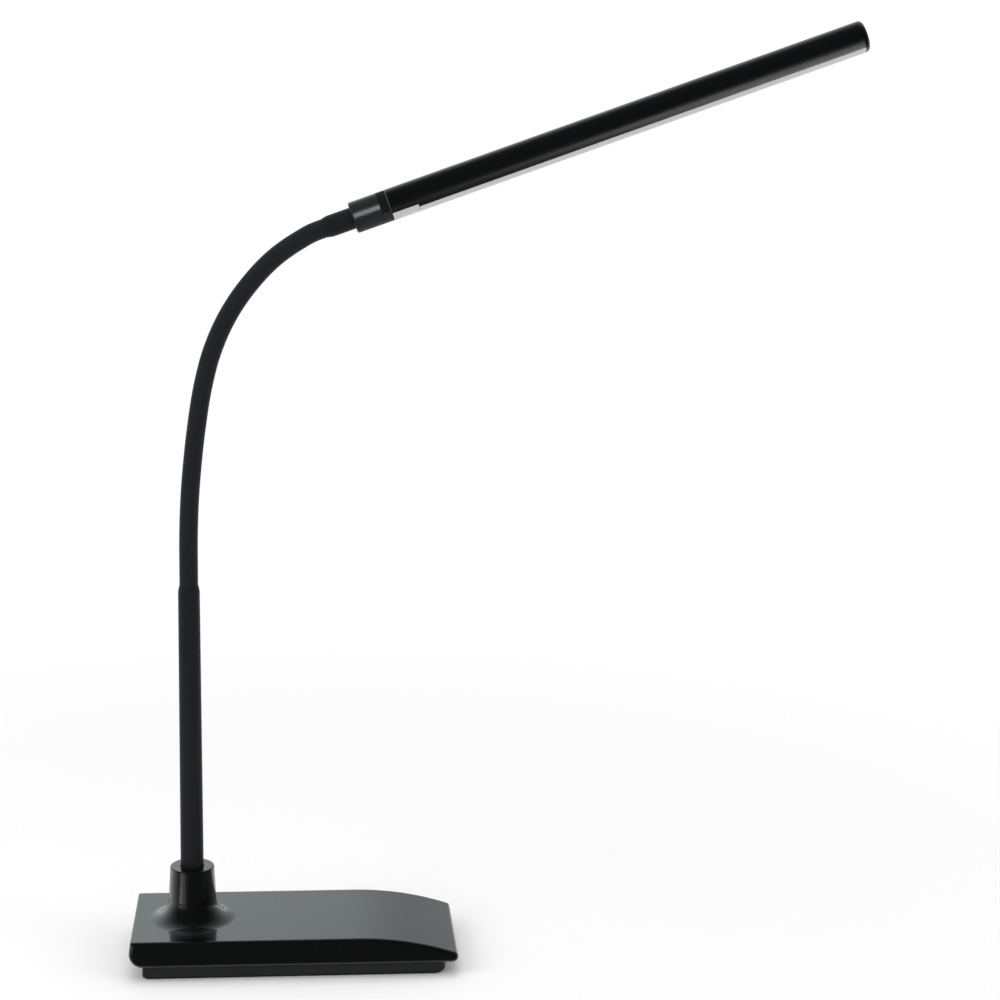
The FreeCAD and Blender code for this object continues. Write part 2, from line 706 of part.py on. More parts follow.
def hinge_axis(index):
    """The axis of a bend point: +Y for a bend, and across the neck in its own plane for a sway."""
    kind = BEND_POINTS[index][0]
    return Y_AXIS if kind == "bend" else PLACES[index + 1].down


def gap_wedge(index, ahead):
    """What a bend point cuts off the length after it (ahead) or before it, so that both can turn."""
    place = PLACES[index + 1]
    axis = hinge_axis(index)
    low, high = BEND_POINTS[index][1:]
    closing = axis.cross(place.ahead)
    sign = 1 if ahead else -1
    reach = 1.5 * NECK_RADIUS
    rise_high = reach * math.tan(math.radians(high / 2 + GAP_MARGIN_DEG))
    rise_low = reach * math.tan(math.radians(-low / 2 + GAP_MARGIN_DEG))
    corners = [
        (-reach, -reach),
        (GAP_AT_AXIS + rise_low, -reach),
        (GAP_AT_AXIS, 0),
        (GAP_AT_AXIS + rise_high, reach),
        (-reach, reach),
    ]
    points = [place.point + place.ahead * (sign * a) + closing * b - axis * reach for a, b in corners]
    return Part.Face(Part.makePolygon(points + points[:1])).extrude(axis * (2 * reach))


def ball(index, radius):
    """A ball about a bend point."""
    return Part.makeSphere(radius, PLACES[index + 1].point)


def neck_sleeve(index):
    """Covering of one rigid length of the neck, open where it meets the balls at its ends."""
    outer = bent_rod(index, NECK_RADIUS)
    if index == 0:
        foot = Vector(STEM_X, 0, NECK_START_Z - NECK_INSERT)
        outer = outer.fuse(Part.makeCylinder(NECK_RADIUS, NECK_INSERT, foot)).removeSplitter()
    if index == len(BEND_POINTS):
        end = PLACES[-1]
        outer = outer.fuse(Part.makeCylinder(NECK_RADIUS, NECK_INSERT, end.point, end.ahead))
    cutters = [core_rod(index, NECK_BORE_RADIUS)]
    if index > 0:
        cutters.append(gap_wedge(index - 1, True))
        cutters.append(ball(index - 1, BALL_RADIUS + BALL_CLEARANCE))
    if index < len(BEND_POINTS):
        cutters.append(gap_wedge(index, False))
        cutters.append(ball(index, BALL_RADIUS + BALL_CLEARANCE))
    return without(outer, cutters)


def core_rod(index, radius):
    """A rod along one length, with the straight ends that reach into the stem and the ferrule."""
    rod = bent_rod(index, radius)
    if index == 0:
        foot = Vector(STEM_X, 0, NECK_START_Z - NECK_INSERT)
        rod = rod.fuse(Part.makeCylinder(radius, NECK_INSERT, foot))
    if index == len(BEND_POINTS):
        end = PLACES[-1]
        rod = rod.fuse(Part.makeCylinder(radius, NECK_INSERT, end.point, end.ahead))
    return rod


def neck_core(index):
    """Steel core of one rigid length: hollow for the lead, cupped at its near end, a ball at its far end."""
    core = core_rod(index, NECK_CORE_RADIUS)
    if index < len(BEND_POINTS):
        core = core.fuse(ball(index, BALL_RADIUS))
    cutters = [core_rod(index, NECK_LEAD_RADIUS)]
    if index > 0:
        cutters.append(ball(index - 1, BALL_RADIUS + BALL_CLEARANCE))
    if index < len(BEND_POINTS):
        place = PLACES[index + 1]
        start = place.point - place.ahead * 2
        cutters.append(Part.makeCylinder(NECK_LEAD_RADIUS, 2 * BALL_RADIUS, start, place.ahead))
    return without(core, cutters)


# Head


def head_placement():
    """Puts the head's own frame, +X along its axis, at the adapter's near end."""
    end = PLACES[-1]
    origin = end.point + end.ahead * FERRULE_EXPOSED
    return Placement(origin, Rotation(Y_AXIS, end.lean - 90))


def on_head(shape):
    """The shape moved from the head's own frame to the lamp's."""
    placed = shape.copy()
    placed.Placement = head_placement().multiply(placed.Placement)
    return placed


def round_bar(radius, start, end):
    """A cylinder along the head's axis."""
    return Part.makeCylinder(radius, end - start, Vector(start, 0, 0), X_AXIS)


def lower_wedge(half_angle, start, end):
    """Everything within half_angle of straight down, about the head's axis."""
    far = 30.0
    a = math.radians(half_angle)
    points = [
        Vector(start, 0, 0),
        Vector(start, far * math.sin(a), -far * math.cos(a)),
        Vector(start, 0, -2 * far),
        Vector(start, -far * math.sin(a), -far * math.cos(a)),
    ]
    return Part.Face(Part.makePolygon(points + points[:1])).extrude(Vector(end - start, 0, 0))


def head_ferrule():
    """Ferrule that joins the neck's end to the adapter, with a chamfered near edge."""
    bore = NECK_RADIUS + FIT_GAP
    length, depth = FERRULE_CHAMFER
    return on_head(
        along_x(
            [
                (-FERRULE_EXPOSED, bore),
                (-FERRULE_EXPOSED, FERRULE_RADIUS - depth),
                (-FERRULE_EXPOSED + length, FERRULE_RADIUS),
                (FERRULE_INSERT, FERRULE_RADIUS),
                (FERRULE_INSERT, bore),
            ]
        )
    )


def below_tongue_line(lift):
    """The region under the stepped top edge of the adapter's lower shell, raised by lift."""
    outside = -ADAPTER_RADIUS - 1
    half_width = ADAPTER_RADIUS + 1
    far = ADAPTER_LENGTH + 1
    start = Vector(TONGUE_START[0] - lift, 0, TONGUE_START[1] + lift)
    middle = Vector(TONGUE_MIDDLE[0], 0, TONGUE_MIDDLE[1] + lift)
    step = Vector(TONGUE_STEP[0] - lift, 0, TONGUE_STEP[1] + lift)
    step_top = step + Vector(0, 0, TONGUE_STEP_RISE)
    end = Vector(far, 0, TONGUE_END_HEIGHT + lift)
    corners = [step, step_top, end, Vector(far, 0, outside), Vector(start.x, 0, outside), start]
    edges = [Part.Arc(start, middle, step).toShape()]
    for a, b in zip(corners, corners[1:]):
        edges.append(Part.LineSegment(a, b).toShape())
    region = Part.Face(Part.Wire(edges)).extrude(Vector(0, 2 * half_width, 0))
    region.translate(Vector(0, -half_width, 0))
    return region


def tongue_skin(lift):
    """The outer skin of the adapter that its lower shell takes up."""
    skin = round_bar(ADAPTER_RADIUS, 0, ADAPTER_LENGTH).cut(
        round_bar(ADAPTER_RADIUS - TONGUE_THICKNESS - lift, -1, ADAPTER_LENGTH + 1)
    )
    return skin.common(below_tongue_line(lift))


def head_adapter():
    """Moulded adapter between the ferrule and the head's tube, with a spigot above the tube's web."""
    body = round_bar(ADAPTER_RADIUS, 0, ADAPTER_LENGTH)
    near_edges = [e for e in body.Edges if e.BoundBox.XMax < 0.01 and e.BoundBox.YLength > 1]
    body = body.makeFillet(ADAPTER_EDGE_RADIUS, near_edges)
    spigot = round_bar(TUBE_RADIUS - TUBE_WALL - FIT_GAP, ADAPTER_LENGTH - 1, ADAPTER_LENGTH + SPIGOT_LENGTH)
    spigot = spigot.common(
        block((0, -20, WEB_HIGH + FIT_GAP), (ADAPTER_LENGTH + SPIGOT_LENGTH + 1, 20, 20))
    )
    wire = HEAD_WIRE_BORE_RADIUS
    cutters = [
        round_bar(FERRULE_RADIUS, -1, FERRULE_INSERT),
        round_bar(wire, -1, ADAPTER_LENGTH + 1),
        tongue_skin(FIT_GAP),
        block((ADAPTER_LENGTH, -wire, WEB_LOW), (ADAPTER_LENGTH + SPIGOT_LENGTH + 1, wire, WEB_HIGH + wire)),
        set_screw_form(0.0),
    ]
    return on_head(without(body.fuse(spigot), cutters))


def adapter_lower_shell():
    """Lower shell of the adapter, whose top edge sweeps back towards the neck."""
    return on_head(tongue_skin(0.0))


def set_screw_form(recess):
    """The set screw, or the hole that it fills, at the back of the adapter."""
    length = ADAPTER_RADIUS + 1 - FERRULE_RADIUS - recess
    return Part.makeCylinder(SET_SCREW_RADIUS, length, Vector(SET_SCREW_PLACE, FERRULE_RADIUS, 0), Y_AXIS)


def adapter_set_screw():
    """Set screw that holds the ferrule in the adapter."""
    screw = set_screw_form(SET_SCREW_RECESS)
    radius, length = SET_SCREW_SOCKET
    start = Vector(SET_SCREW_PLACE, ADAPTER_RADIUS - SET_SCREW_RECESS, 0)
    return on_head(screw.cut(Part.makeCylinder(radius, length, start, Y_AXIS)))


def head_tube():
    """Extruded tube of the head: open underneath for the diffuser, with a web that carries the board."""
    inner = TUBE_RADIUS - TUBE_WALL
    start = ADAPTER_LENGTH
    wall = round_bar(TUBE_RADIUS, start, TUBE_END).cut(round_bar(inner, start - 1, TUBE_END + 1))
    block_end = start + END_BLOCK_LENGTH
    wall = wall.cut(lower_wedge(END_BLOCK_HALF_ANGLE + STRIP_GAP_ANGLE, start - 1, block_end + FIT_GAP))
    wall = wall.cut(lower_wedge(DIFFUSER_HALF_ANGLE + STRIP_GAP_ANGLE, block_end, TUBE_END + 1))
    web = round_bar(inner + TUBE_WALL / 3, start, TUBE_END).common(
        block((start, -20, WEB_LOW), (TUBE_END, 20, WEB_HIGH))
    )
    return on_head(wall.fuse(web).removeSplitter())


def strip(half_angle, start, end):
    """A curved opal strip: its outer face is flush with the tube, and its rails slide inside the wall."""
    inner = TUBE_RADIUS - TUBE_WALL
    hollow = round_bar(inner - RAIL_THICKNESS, start - 1, end + 1)
    face = round_bar(TUBE_RADIUS, start, end).cut(hollow).common(lower_wedge(half_angle, start, end))
    rails = round_bar(inner - FIT_GAP, start, end).cut(hollow)
    rails = rails.common(lower_wedge(half_angle + RAIL_ANGLE, start, end))
    return fused([face, rails])


def diffuser():
    """Opal diffuser along the underside of the head."""
    start = ADAPTER_LENGTH + END_BLOCK_LENGTH + FIT_GAP
    return on_head(strip(DIFFUSER_HALF_ANGLE, start, TUBE_END))


def diffuser_end_block():
    """Taller pale block that closes the diffuser next to the adapter."""
    start = ADAPTER_LENGTH
    return on_head(strip(END_BLOCK_HALF_ANGLE, start, start + END_BLOCK_LENGTH))


def led_board():
    """Aluminium-backed strip board under the tube's web."""
    start = ADAPTER_LENGTH + LED_BOARD_START_GAP
    half = LED_BOARD_WIDTH / 2
    low = WEB_LOW - LED_BOARD_THICKNESS
    return on_head(block((start, -half, low), (TUBE_END - LED_BOARD_END_GAP, half, WEB_LOW)))


def led_chips():
    """Row of LED packages on the strip board."""
    length, width, height = LED_SIZE
    high = WEB_LOW - LED_BOARD_THICKNESS
    first = ADAPTER_LENGTH + END_BLOCK_LENGTH + LED_FIRST_GAP
    chips = []
    for i in range(LED_COUNT):
        s = first + i * LED_PITCH
        chips.append(on_head(block((s, -width / 2, high - height), (s + length, width / 2, high))))
    return Part.makeCompound(chips)


def head_leads():
    """Pair of leads from the adapter to the strip board's end."""
    level = WEB_LOW - LED_BOARD_THICKNESS / 2
    start = FERRULE_INSERT
    length = ADAPTER_LENGTH + LED_BOARD_START_GAP - start
    pair = []
    for y in (-LEAD_RADIUS, LEAD_RADIUS):
        pair.append(on_head(Part.makeCylinder(HEAD_LEAD_RADIUS, length, Vector(start, y, level), X_AXIS)))
    return Part.makeCompound(pair)


def end_cap():
    """Rounded cap with a spigot that plugs the tube's far end above the web."""
    end = TUBE_END + CAP_THICKNESS
    disc = round_bar(TUBE_RADIUS, TUBE_END, end)
    far_edges = [e for e in disc.Edges if e.BoundBox.XMin > end - 0.01 and e.BoundBox.YLength > 1]
    disc = disc.makeFillet(CAP_EDGE_RADIUS, far_edges)
    spigot = round_bar(TUBE_RADIUS - TUBE_WALL - FIT_GAP, TUBE_END - CAP_SPIGOT, TUBE_END + 1)
    spigot = spigot.common(block((TUBE_END - CAP_SPIGOT, -20, WEB_HIGH + FIT_GAP), (TUBE_END + 1, 20, 20)))
    return on_head(disc.fuse(spigot).removeSplitter())


def all_nodes():
    """Every sub-part by its node's name."""
    nodes = {
        "base_cover": base_cover(),
        "base_tray": base_tray(),
        "ballast_weight": ballast_weight(),
        "non_slip_pad": non_slip_pad(),
        "cover_screws": cover_screws(),
        "power_jack": power_jack(),
        "driver_board": driver_board(),
        "board_screws": board_screws(),
        "touch_electrode": touch_electrode(),
        "contact_spring": contact_spring(),
        "base_leads": base_leads(),
        "stem_tube": stem_tube(),
        "stem_nipple": stem_nipple(),
        "stem_washer": stem_washer(),
        "stem_lock_nut": stem_lock_nut(),
        "head_ferrule": head_ferrule(),
        "head_adapter": head_adapter(),
        "adapter_lower_shell": adapter_lower_shell(),
        "adapter_set_screw": adapter_set_screw(),
        "head_tube": head_tube(),
        "diffuser": diffuser(),
        "diffuser_end_block": diffuser_end_block(),
        "led_board": led_board(),
        "led_chips": led_chips(),
        "head_leads": head_leads(),
        "end_cap": end_cap(),
    }
    for index in range(len(NECK_LENGTH_TURNS_DEG)):
        nodes["neck_sleeve_%d" % (index + 1)] = neck_sleeve(index)
        nodes["neck_core_%d" % (index + 1)] = neck_core(index)
    return nodes


def write_parts():
    """Writes one STEP file per sub-part and prints each one's solids and volume."""
    os.makedirs("parts", exist_ok=True)
    for name, shape in all_nodes().items():
        solids = Part.makeCompound(shape.Solids)
        solids.exportStep("parts/%s.step" % name)
        facts = (name, len(shape.Solids), shape.Volume, shape.isValid())
        print("%-22s solids %2d  volume %9.1f  valid %s" % facts)
    for index, (kind, low, high) in enumerate(BEND_POINTS):
        place = PLACES[index + 1]
        axis = hinge_axis(index)
        facts = (kind, index + 1, low, high, place.point.x, place.point.z, axis.x, axis.y, axis.z)
        print("%s %d from %d to %d at (%.3f, %.3f) axis (%.4f, %.0f, %.4f)" % facts)


write_parts()
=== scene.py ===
"""Looks of the gooseneck desk lamp: its visible pieces, finishes, floor, lights and camera.

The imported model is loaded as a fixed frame, and every piece here stands for one or more of its nodes.
Shapes are written in millimetres in the lamp's own frame: +X from the stem to the head, +Y to the back,
+Z up, with the origin under the centre of the base. build_piece turns them into metres.
Each operator below makes one piece or one group of like pieces, and main calls them in order.
"""

import json
import math
from functools import cache

import bmesh
import bpy
import numpy as np
from bpy.props import FloatProperty, FloatVectorProperty, IntProperty, PointerProperty
from mathutils import Matrix, Quaternion, Vector

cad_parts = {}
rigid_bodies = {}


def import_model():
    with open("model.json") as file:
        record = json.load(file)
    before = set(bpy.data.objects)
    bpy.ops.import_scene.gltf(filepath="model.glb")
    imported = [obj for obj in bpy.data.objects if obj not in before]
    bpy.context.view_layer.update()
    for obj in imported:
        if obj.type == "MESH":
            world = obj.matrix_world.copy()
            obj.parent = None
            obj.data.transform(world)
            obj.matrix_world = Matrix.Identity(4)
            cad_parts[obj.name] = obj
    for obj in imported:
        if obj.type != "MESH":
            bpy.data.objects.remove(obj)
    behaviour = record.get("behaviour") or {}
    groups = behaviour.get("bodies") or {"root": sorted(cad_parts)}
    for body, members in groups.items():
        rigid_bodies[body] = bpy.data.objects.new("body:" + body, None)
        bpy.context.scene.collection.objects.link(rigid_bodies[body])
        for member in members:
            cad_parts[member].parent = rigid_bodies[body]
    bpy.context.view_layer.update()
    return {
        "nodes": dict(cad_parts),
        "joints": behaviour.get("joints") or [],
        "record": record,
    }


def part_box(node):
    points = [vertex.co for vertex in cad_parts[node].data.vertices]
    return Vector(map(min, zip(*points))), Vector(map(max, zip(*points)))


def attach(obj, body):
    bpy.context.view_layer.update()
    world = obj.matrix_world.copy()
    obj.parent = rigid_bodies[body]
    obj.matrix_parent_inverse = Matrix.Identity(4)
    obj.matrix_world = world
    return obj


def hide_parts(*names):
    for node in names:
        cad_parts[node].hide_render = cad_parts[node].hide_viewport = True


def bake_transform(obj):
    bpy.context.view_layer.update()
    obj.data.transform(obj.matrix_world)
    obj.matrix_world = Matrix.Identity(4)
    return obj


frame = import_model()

bl_info = {
    "name": "Gooseneck desk lamp",
    "version": (1, 0, 0),
    "blender": (4, 5, 0),
    "location": "3D View > Sidebar > Lamp",
    "description": "Builds the visible pieces, finishes and studio of a gooseneck desk lamp",
    "category": "Object",
}

MM = 0.001

# Base cover and socket; the solid cover of the frame ends a little lower
BASE_LEFT = -95.2
BASE_RIGHT = 95.6
BASE_HALF_DEPTH = 41.0
BASE_TOP = 24.0
COVER_BOTTOM = 8.4
COVER_WALL = 2.2
CORNER_RADIUS = 1.0
EDGE_RADIUS = 2.6
LEFT_LEAN = 7.0
LEFT_RADIUS = 8.0
NOSE_START = 36.5
NOSE_RADIUS = 175.0
NOSE_END = 93.6
TIP_RADIUS = 3.0
RIGHT_RADIUS = 5.4
# The opening underneath: ends, half depth, and corner radii at the left and right
OPENING = (-88.0, 88.6, 37.2, (2.7, 7.2))
RING_RADII = (4.0, 4.0)
RING_SPACING = 2.4
STEM_X = -60.0
SOCKET_TOP = 56.0
SOCKET_RADIUS = 13.0
SOCKET_LIP = 0.8
WAIST_HEIGHT = 36.0
WAIST_RADIUS = 14.0
FLARE_RADIUS = 12.0
SOCKET_BORE = 6.99
# The inlet's hole: x, height and radius
JACK_HOLE = (-25.0, 16.4, 4.1)
SHOULDER = 3.2
WALL_LEVELS = (21.2, 19.6, 18.0, 16.4, 14.8, 13.2, 11.75)
FINE_INSET = 2.2
UPPER_ROUND_END = 21.5
LOWER_ROUND_START = 11.2
MIDDLE_HEIGHT = 12.5
MARCH_REACH = 40.0
MARCH_STEPS = 36

# Tray and pad: ends, half depth, corner radii at the left and right, and (inset, height) levels
TRAY = (-87.8, 88.4, 37.0, (2.5, 7.0))
TRAY_FOOT = ((0.6, 1.2), (0.25, 1.3), (0.08, 1.5), (0.0, 1.8), (0.0, 5.0))
TRAY_LEVELS = (*TRAY_FOOT, (0.0, 8.6), (0.1, 8.85), (0.3, 9.0))
PAD = (-86.3, 86.9, 35.5, (1.0, 5.5))
PAD_LEVELS = ((0.3, 0.0), (0.08, 0.05), (0.0, 0.2), (0.0, 1.0), (0.1, 1.18))
PLATE_SPACING = 6.0

# Stem and neck; the stem's corners are (radius, height)
STEM_FOOT = (6.9, 12.0)
STEM_SHOULDER = (6.24, 222.6)
STEM_TIP = (5.55, 226.0)
NECK_START = 212.5
NECK_RADIUS = 5.35
NECK_INNER = 4.9
NECK_BORE = NECK_RADIUS + 0.05
NECK_STEP = 0.1

# Two rigid skins meet at this joint, and the near one ends in a round knuckle inside the far one, because a
# blended skin is thrown far off when this joint is at its upper limit
KNUCKLE_JOINT = "neck_bend_9"
KNUCKLE_ANGLES = (6.0, 12.0, 18.0, 24.0, 30.0)

# Head, in its own frame: s runs along it from the adapter's near end
HEAD_TILT = 20.0
FERRULE_START = -16.9
FERRULE_END = 13.0
FERRULE_RADIUS = 6.15
ADAPTER_RADIUS = 8.95
ADAPTER_END = 22.0
COLLAR_START = 16.6
TUBE_RADIUS = 9.05
TUBE_INNER = 7.65
TUBE_END = 303.7
BLOCK_END = 37.4
STRIP_ANGLE = 49.0
BLOCK_ANGLE = 61.0
STRIP_GAP = 0.4
CAP_THICKNESS = 3.2
SPIGOT_LENGTH = 6.0
SHELL_DROP = -1.9
SHELL_STEP = 17.0
SHELL_RUN = 6.0
SHELL_EDGE = ((0.9, -6.4), (7.0, -3.9), (17.0, -3.7))

# Surfaces
GRAIN_HEIGHT = 0.3
SHEEN = (0.86, 0.12, 0.62, 1.8)
ADAPTER_SHEEN = (0.4, 0.3, 0.8, 1.8)
TUBE_SHEEN = (0.7, 0.25, 0.8, 1.8)

# Camera and studio, in metres and degrees
CAMERA_PLACE = (0.00153, -1.29944, 0.54175)
CAMERA_TURN = (5.178, 11.517, 0.897)
LIGHT_TARGET = (0.06, 0.0, 0.25)
# Cards of light: power, size, place, aim, turn about their own axis, and the piece that mirrors them
CARDS = (
    ("Front card", 17.0, (0.35, 0.7), (0.0, -1.25, 0.8), (0.035, 0.0, 0.436), HEAD_TILT, "adapter"),
    ("Left card", 0.55, (0.07, 0.12), (-0.178, -0.122, 0.004), (-0.178, -0.122, 1.0), 45.0, "cover"),
    ("Right card", 38.0, (0.45, 1.1), (0.66, -0.45, 0.004), (0.66, -0.45, 1.0), 13.0, "tube"),
)
FLOOR_REACH = 8.0
FLOOR_FADE = (0.2, 0.75)
MIRRORED_TINT = (0.92, 1.0, 1.0, 1)
MIRRORED_FALL = (-0.1, 0.2, 1.0, 0.6)
WHITE = (1, 1, 1, 1)


# Outlines and meshes


def arc(centre, radius, first, last, count):
    """Points on an arc about centre, from the first to the last angle in degrees."""
    angles = np.radians(np.linspace(first, last, count))
    return [(centre[0] + radius * math.cos(a), centre[1] + radius * math.sin(a)) for a in angles]


def unit(vectors):
    """Vectors of length one."""
    return vectors / np.linalg.norm(vectors, axis=-1, keepdims=True)


def rounded(corners, steps=5):
    """A closed outline through (a, b, radius) corners, each rounded by its own radius."""
    points = []
    for i, (a, b, radius) in enumerate(corners):
        corner = np.array((a, b))
        if radius == 0:
            points.append((a, b))
            continue
        before = unit(np.array(corners[i - 1][:2]) - corner)
        after = unit(np.array(corners[(i + 1) % len(corners)][:2]) - corner)
        half = math.acos(np.clip(before @ after, -1, 1)) / 2
        centre = corner + unit(before + after) * radius / math.sin(half)
        start = corner + before * radius / math.tan(half) - centre
        end = corner + after * radius / math.tan(half) - centre
        for t in np.linspace(0, 1, steps + 1):
            points.append(tuple(centre + unit(start * (1 - t) + end * t) * radius))
    return points


def grid_faces(rows, columns, close_rows):
    """Quads of a grid of closed rows, with the last row joined to the first if close_rows."""
    faces = []
    for i in range(rows if close_rows else rows - 1):
        here = i * columns
        there = (i + 1) % rows * columns
        for j in range(columns):
            k = (j + 1) % columns
            faces.append((here + j, here + k, there + k, there + j))
    return faces


def face_outward(mesh):
    """Turns every face of a closed mesh outward, and stops where the mesh isn't closed."""
    form = bmesh.new()
    form.from_mesh(mesh)
    open_edges = [e for e in form.edges if len(e.link_faces) != 2]
    if open_edges:
        raise ValueError("%s has %d open edges" % (mesh.name, len(open_edges)))
    bmesh.ops.recalc_face_normals(form, faces=form.faces)
    form.to_mesh(mesh)
    form.free()


def add_object(name, data):
    """A new object in the scene."""
    item = bpy.data.objects.new(name, data)
    bpy.context.scene.collection.objects.link(item)
    return item


def build_piece(name, shape, body, slot, nodes, place=None, normals=None, look=None):
    """One visible piece from (points in millimetres, faces): it stands for nodes and rides on body.

    Its finish is that of its slot, unless look names another.
    """
    points, faces = shape
    mesh = bpy.data.meshes.new(name)
    mesh.from_pydata([tuple(float(c) * MM for c in p) for p in points], [], faces)
    face_outward(mesh)
    mesh.shade_smooth()
    if normals is None:
        mesh.set_sharp_from_angle(angle=math.radians(40))
    else:
        mesh.normals_split_custom_set_from_vertices([tuple(n) for n in normals])
    mesh.materials.append(finish_for(look or slot))
    piece = add_object(name, mesh)
    if normals is None:
        shading = piece.modifiers.new("Even shading", "WEIGHTED_NORMAL")
        shading.keep_sharp = True
        shading.weight = 100
    if place is not None:
        piece.matrix_world = place
    if nodes:
        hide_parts(*nodes)
    if body:
        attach(piece, body)
    return piece


def segments():
    """Sides of every turned piece."""
    return bpy.context.scene.lamp_settings.segments


def turned(profile, upright=False):
    """Points and faces of a closed profile of (distance, radius) turned about the X axis.

    An upright one has (radius, height) and is turned about the Z axis.
    """
    points = []
    for first, second in profile:
        for j in range(segments()):
            a = 2 * math.pi * j / segments()
            if upright:
                points.append((first * math.cos(a), first * math.sin(a), second))
            else:
                points.append((first, second * math.cos(a), second * math.sin(a)))
    return points, grid_faces(len(profile), segments(), True)


def capped_stack(rings):
    """Points and faces of a stack of equal closed rings, with a flat face on each end."""
    count = len(rings[0])
    points = [p for ring in rings for p in ring]
    faces = grid_faces(len(rings), count, False)
    faces.append(tuple(range(count - 1, -1, -1)))
    last = (len(rings) - 1) * count
    faces.append(tuple(range(last, last + count)))
    return points, faces


def head_place():
    """The head's own frame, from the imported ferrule: its far lower corner fixes where the adapter starts."""
    tilt = math.radians(HEAD_TILT)
    along = Vector((math.cos(tilt), 0, math.sin(tilt)))
    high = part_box("head_ferrule")[1]
    reach_x = FERRULE_END * math.cos(tilt) + FERRULE_RADIUS * math.sin(tilt)
    reach_z = FERRULE_END * math.sin(tilt) + FERRULE_RADIUS * math.cos(tilt)
    origin = Vector((high.x - reach_x * MM, 0, high.z - reach_z * MM))
    up = Vector((-along.z, 0, along.x))
    turn = Matrix((along, (0, 1, 0), up)).transposed()
    return Matrix.Translation(origin) @ turn.to_4x4()


# The cover's surface


def top_height(x):
    """Height of the cover's top at x: flat, then the long arc of the nose."""
    reach = np.clip(x - NOSE_START, 0, NOSE_RADIUS)
    return BASE_TOP - NOSE_RADIUS + np.sqrt(NOSE_RADIUS**2 - reach**2)


def arc_distance(x, z, centre, radius, first, last):
    """Distance outside a convex arc and its end tangents; angles run from straight up towards +X."""
    dx, dz = x - centre[0], z - centre[1]
    middle = (first + last) / 2
    off = np.abs((np.arctan2(dx, dz) - middle + math.pi) % (2 * math.pi) - math.pi)
    beyond = np.maximum(off - (last - first) / 2, 0)
    return np.hypot(dx, dz) * np.cos(beyond) - radius


def side_distance(x, z):
    """Signed distance from the cover's outline in side view."""
    nose = (NOSE_START, BASE_TOP - NOSE_RADIUS)
    slope = math.asin((NOSE_END - NOSE_START) / NOSE_RADIUS)
    run = NOSE_RADIUS - TIP_RADIUS
    tip = (nose[0] + run * math.sin(slope), nose[1] + run * math.cos(slope))
    step = RIGHT_RADIUS - TIP_RADIUS
    steep = math.acos((tip[1] - COVER_BOTTOM - RIGHT_RADIUS) / step)
    right = (tip[0] - step * math.sin(steep), tip[1] - step * math.cos(steep))
    left = (BASE_LEFT + LEFT_RADIUS, COVER_BOTTOM + LEFT_RADIUS)
    wall_angle = 1.5 * math.pi + math.radians(LEFT_LEAN)
    top = arc_distance(x, z, nose, NOSE_RADIUS, 0, slope)
    wall = arc_distance(x, z, left, LEFT_RADIUS, wall_angle, wall_angle)
    distance = rounded_join(top, wall, CORNER_RADIUS)
    for centre, radius, first, last in (
        (tip, TIP_RADIUS, slope, steep),
        (right, RIGHT_RADIUS, steep, math.pi),
        (left, LEFT_RADIUS, math.pi, wall_angle),
    ):
        distance = np.maximum(distance, arc_distance(x, z, centre, radius, first, last))
    return distance


def rounded_join(a, b, radius):
    """Signed distance of what lies inside both a and b, with their common edge rounded."""
    both = np.hypot(np.maximum(a + radius, 0), np.maximum(b + radius, 0))
    return np.minimum(-radius, np.maximum(a, b)) + both


def cover_distance(p):
    """Signed distance of points from the cover's outside, below its socket."""
    return rounded_join(side_distance(p[..., 0], p[..., 2]), np.abs(p[..., 1]) - BASE_HALF_DEPTH, EDGE_RADIUS)


def cavity_distance(p):
    """Signed distance of points from the cover's inside, below its socket."""
    across = np.abs(p[..., 1]) - BASE_HALF_DEPTH
    return np.maximum(side_distance(p[..., 0], p[..., 2]), across) + COVER_WALL


def march(origins, targets, distance):
    """Where the rays from origins through targets leave a form."""
    direction = unit(targets - origins)
    near = np.zeros(direction.shape[:-1])
    far = np.full(direction.shape[:-1], MARCH_REACH)
    for _ in range(MARCH_STEPS):
        middle = (near + far) / 2
        inside = distance(origins + direction * middle[..., None]) < 0
        near = np.where(inside, middle, near)
        far = np.where(inside, far, middle)
    return origins + direction * near[..., None]


def slope_of(p, distance):
    """Unit outward normals of a distance function at points."""
    step = 0.01
    parts = []
    for axis in range(3):
        shift = np.zeros(3)
        shift[axis] = step
        parts.append(distance(p + shift) - distance(p - shift))
    return unit(np.stack(parts, axis=-1))


def section_targets():
    """What the rays of one vertical section aim at: (inset, height) round a square-edged section."""
    targets = [(d, BASE_TOP) for d in np.linspace(SHOULDER, FINE_INSET, 3)]
    targets += [(d, BASE_TOP) for d in np.linspace(FINE_INSET, 0.0, 10)[1:]]
    targets += [(0.0, z) for z in np.linspace(BASE_TOP, UPPER_ROUND_END, 9)[1:]]
    targets += [(0.0, z) for z in WALL_LEVELS]
    targets += [(0.0, z) for z in np.linspace(LOWER_ROUND_START, COVER_BOTTOM, 12)]
    targets += [(d, COVER_BOTTOM) for d in np.linspace(0.0, SHOULDER, 10)[1:]]
    return targets


def inner_targets():
    """The same for the inside, from the rim up to the ceiling."""
    floor = COVER_BOTTOM + COVER_WALL
    ceiling = BASE_TOP - COVER_WALL
    targets = [(SHOULDER, floor), (COVER_WALL, floor)]
    targets += [(COVER_WALL, z) for z in reversed(WALL_LEVELS)]
    return targets + [(COVER_WALL, ceiling), (2.6, ceiling), (SHOULDER, ceiling)]


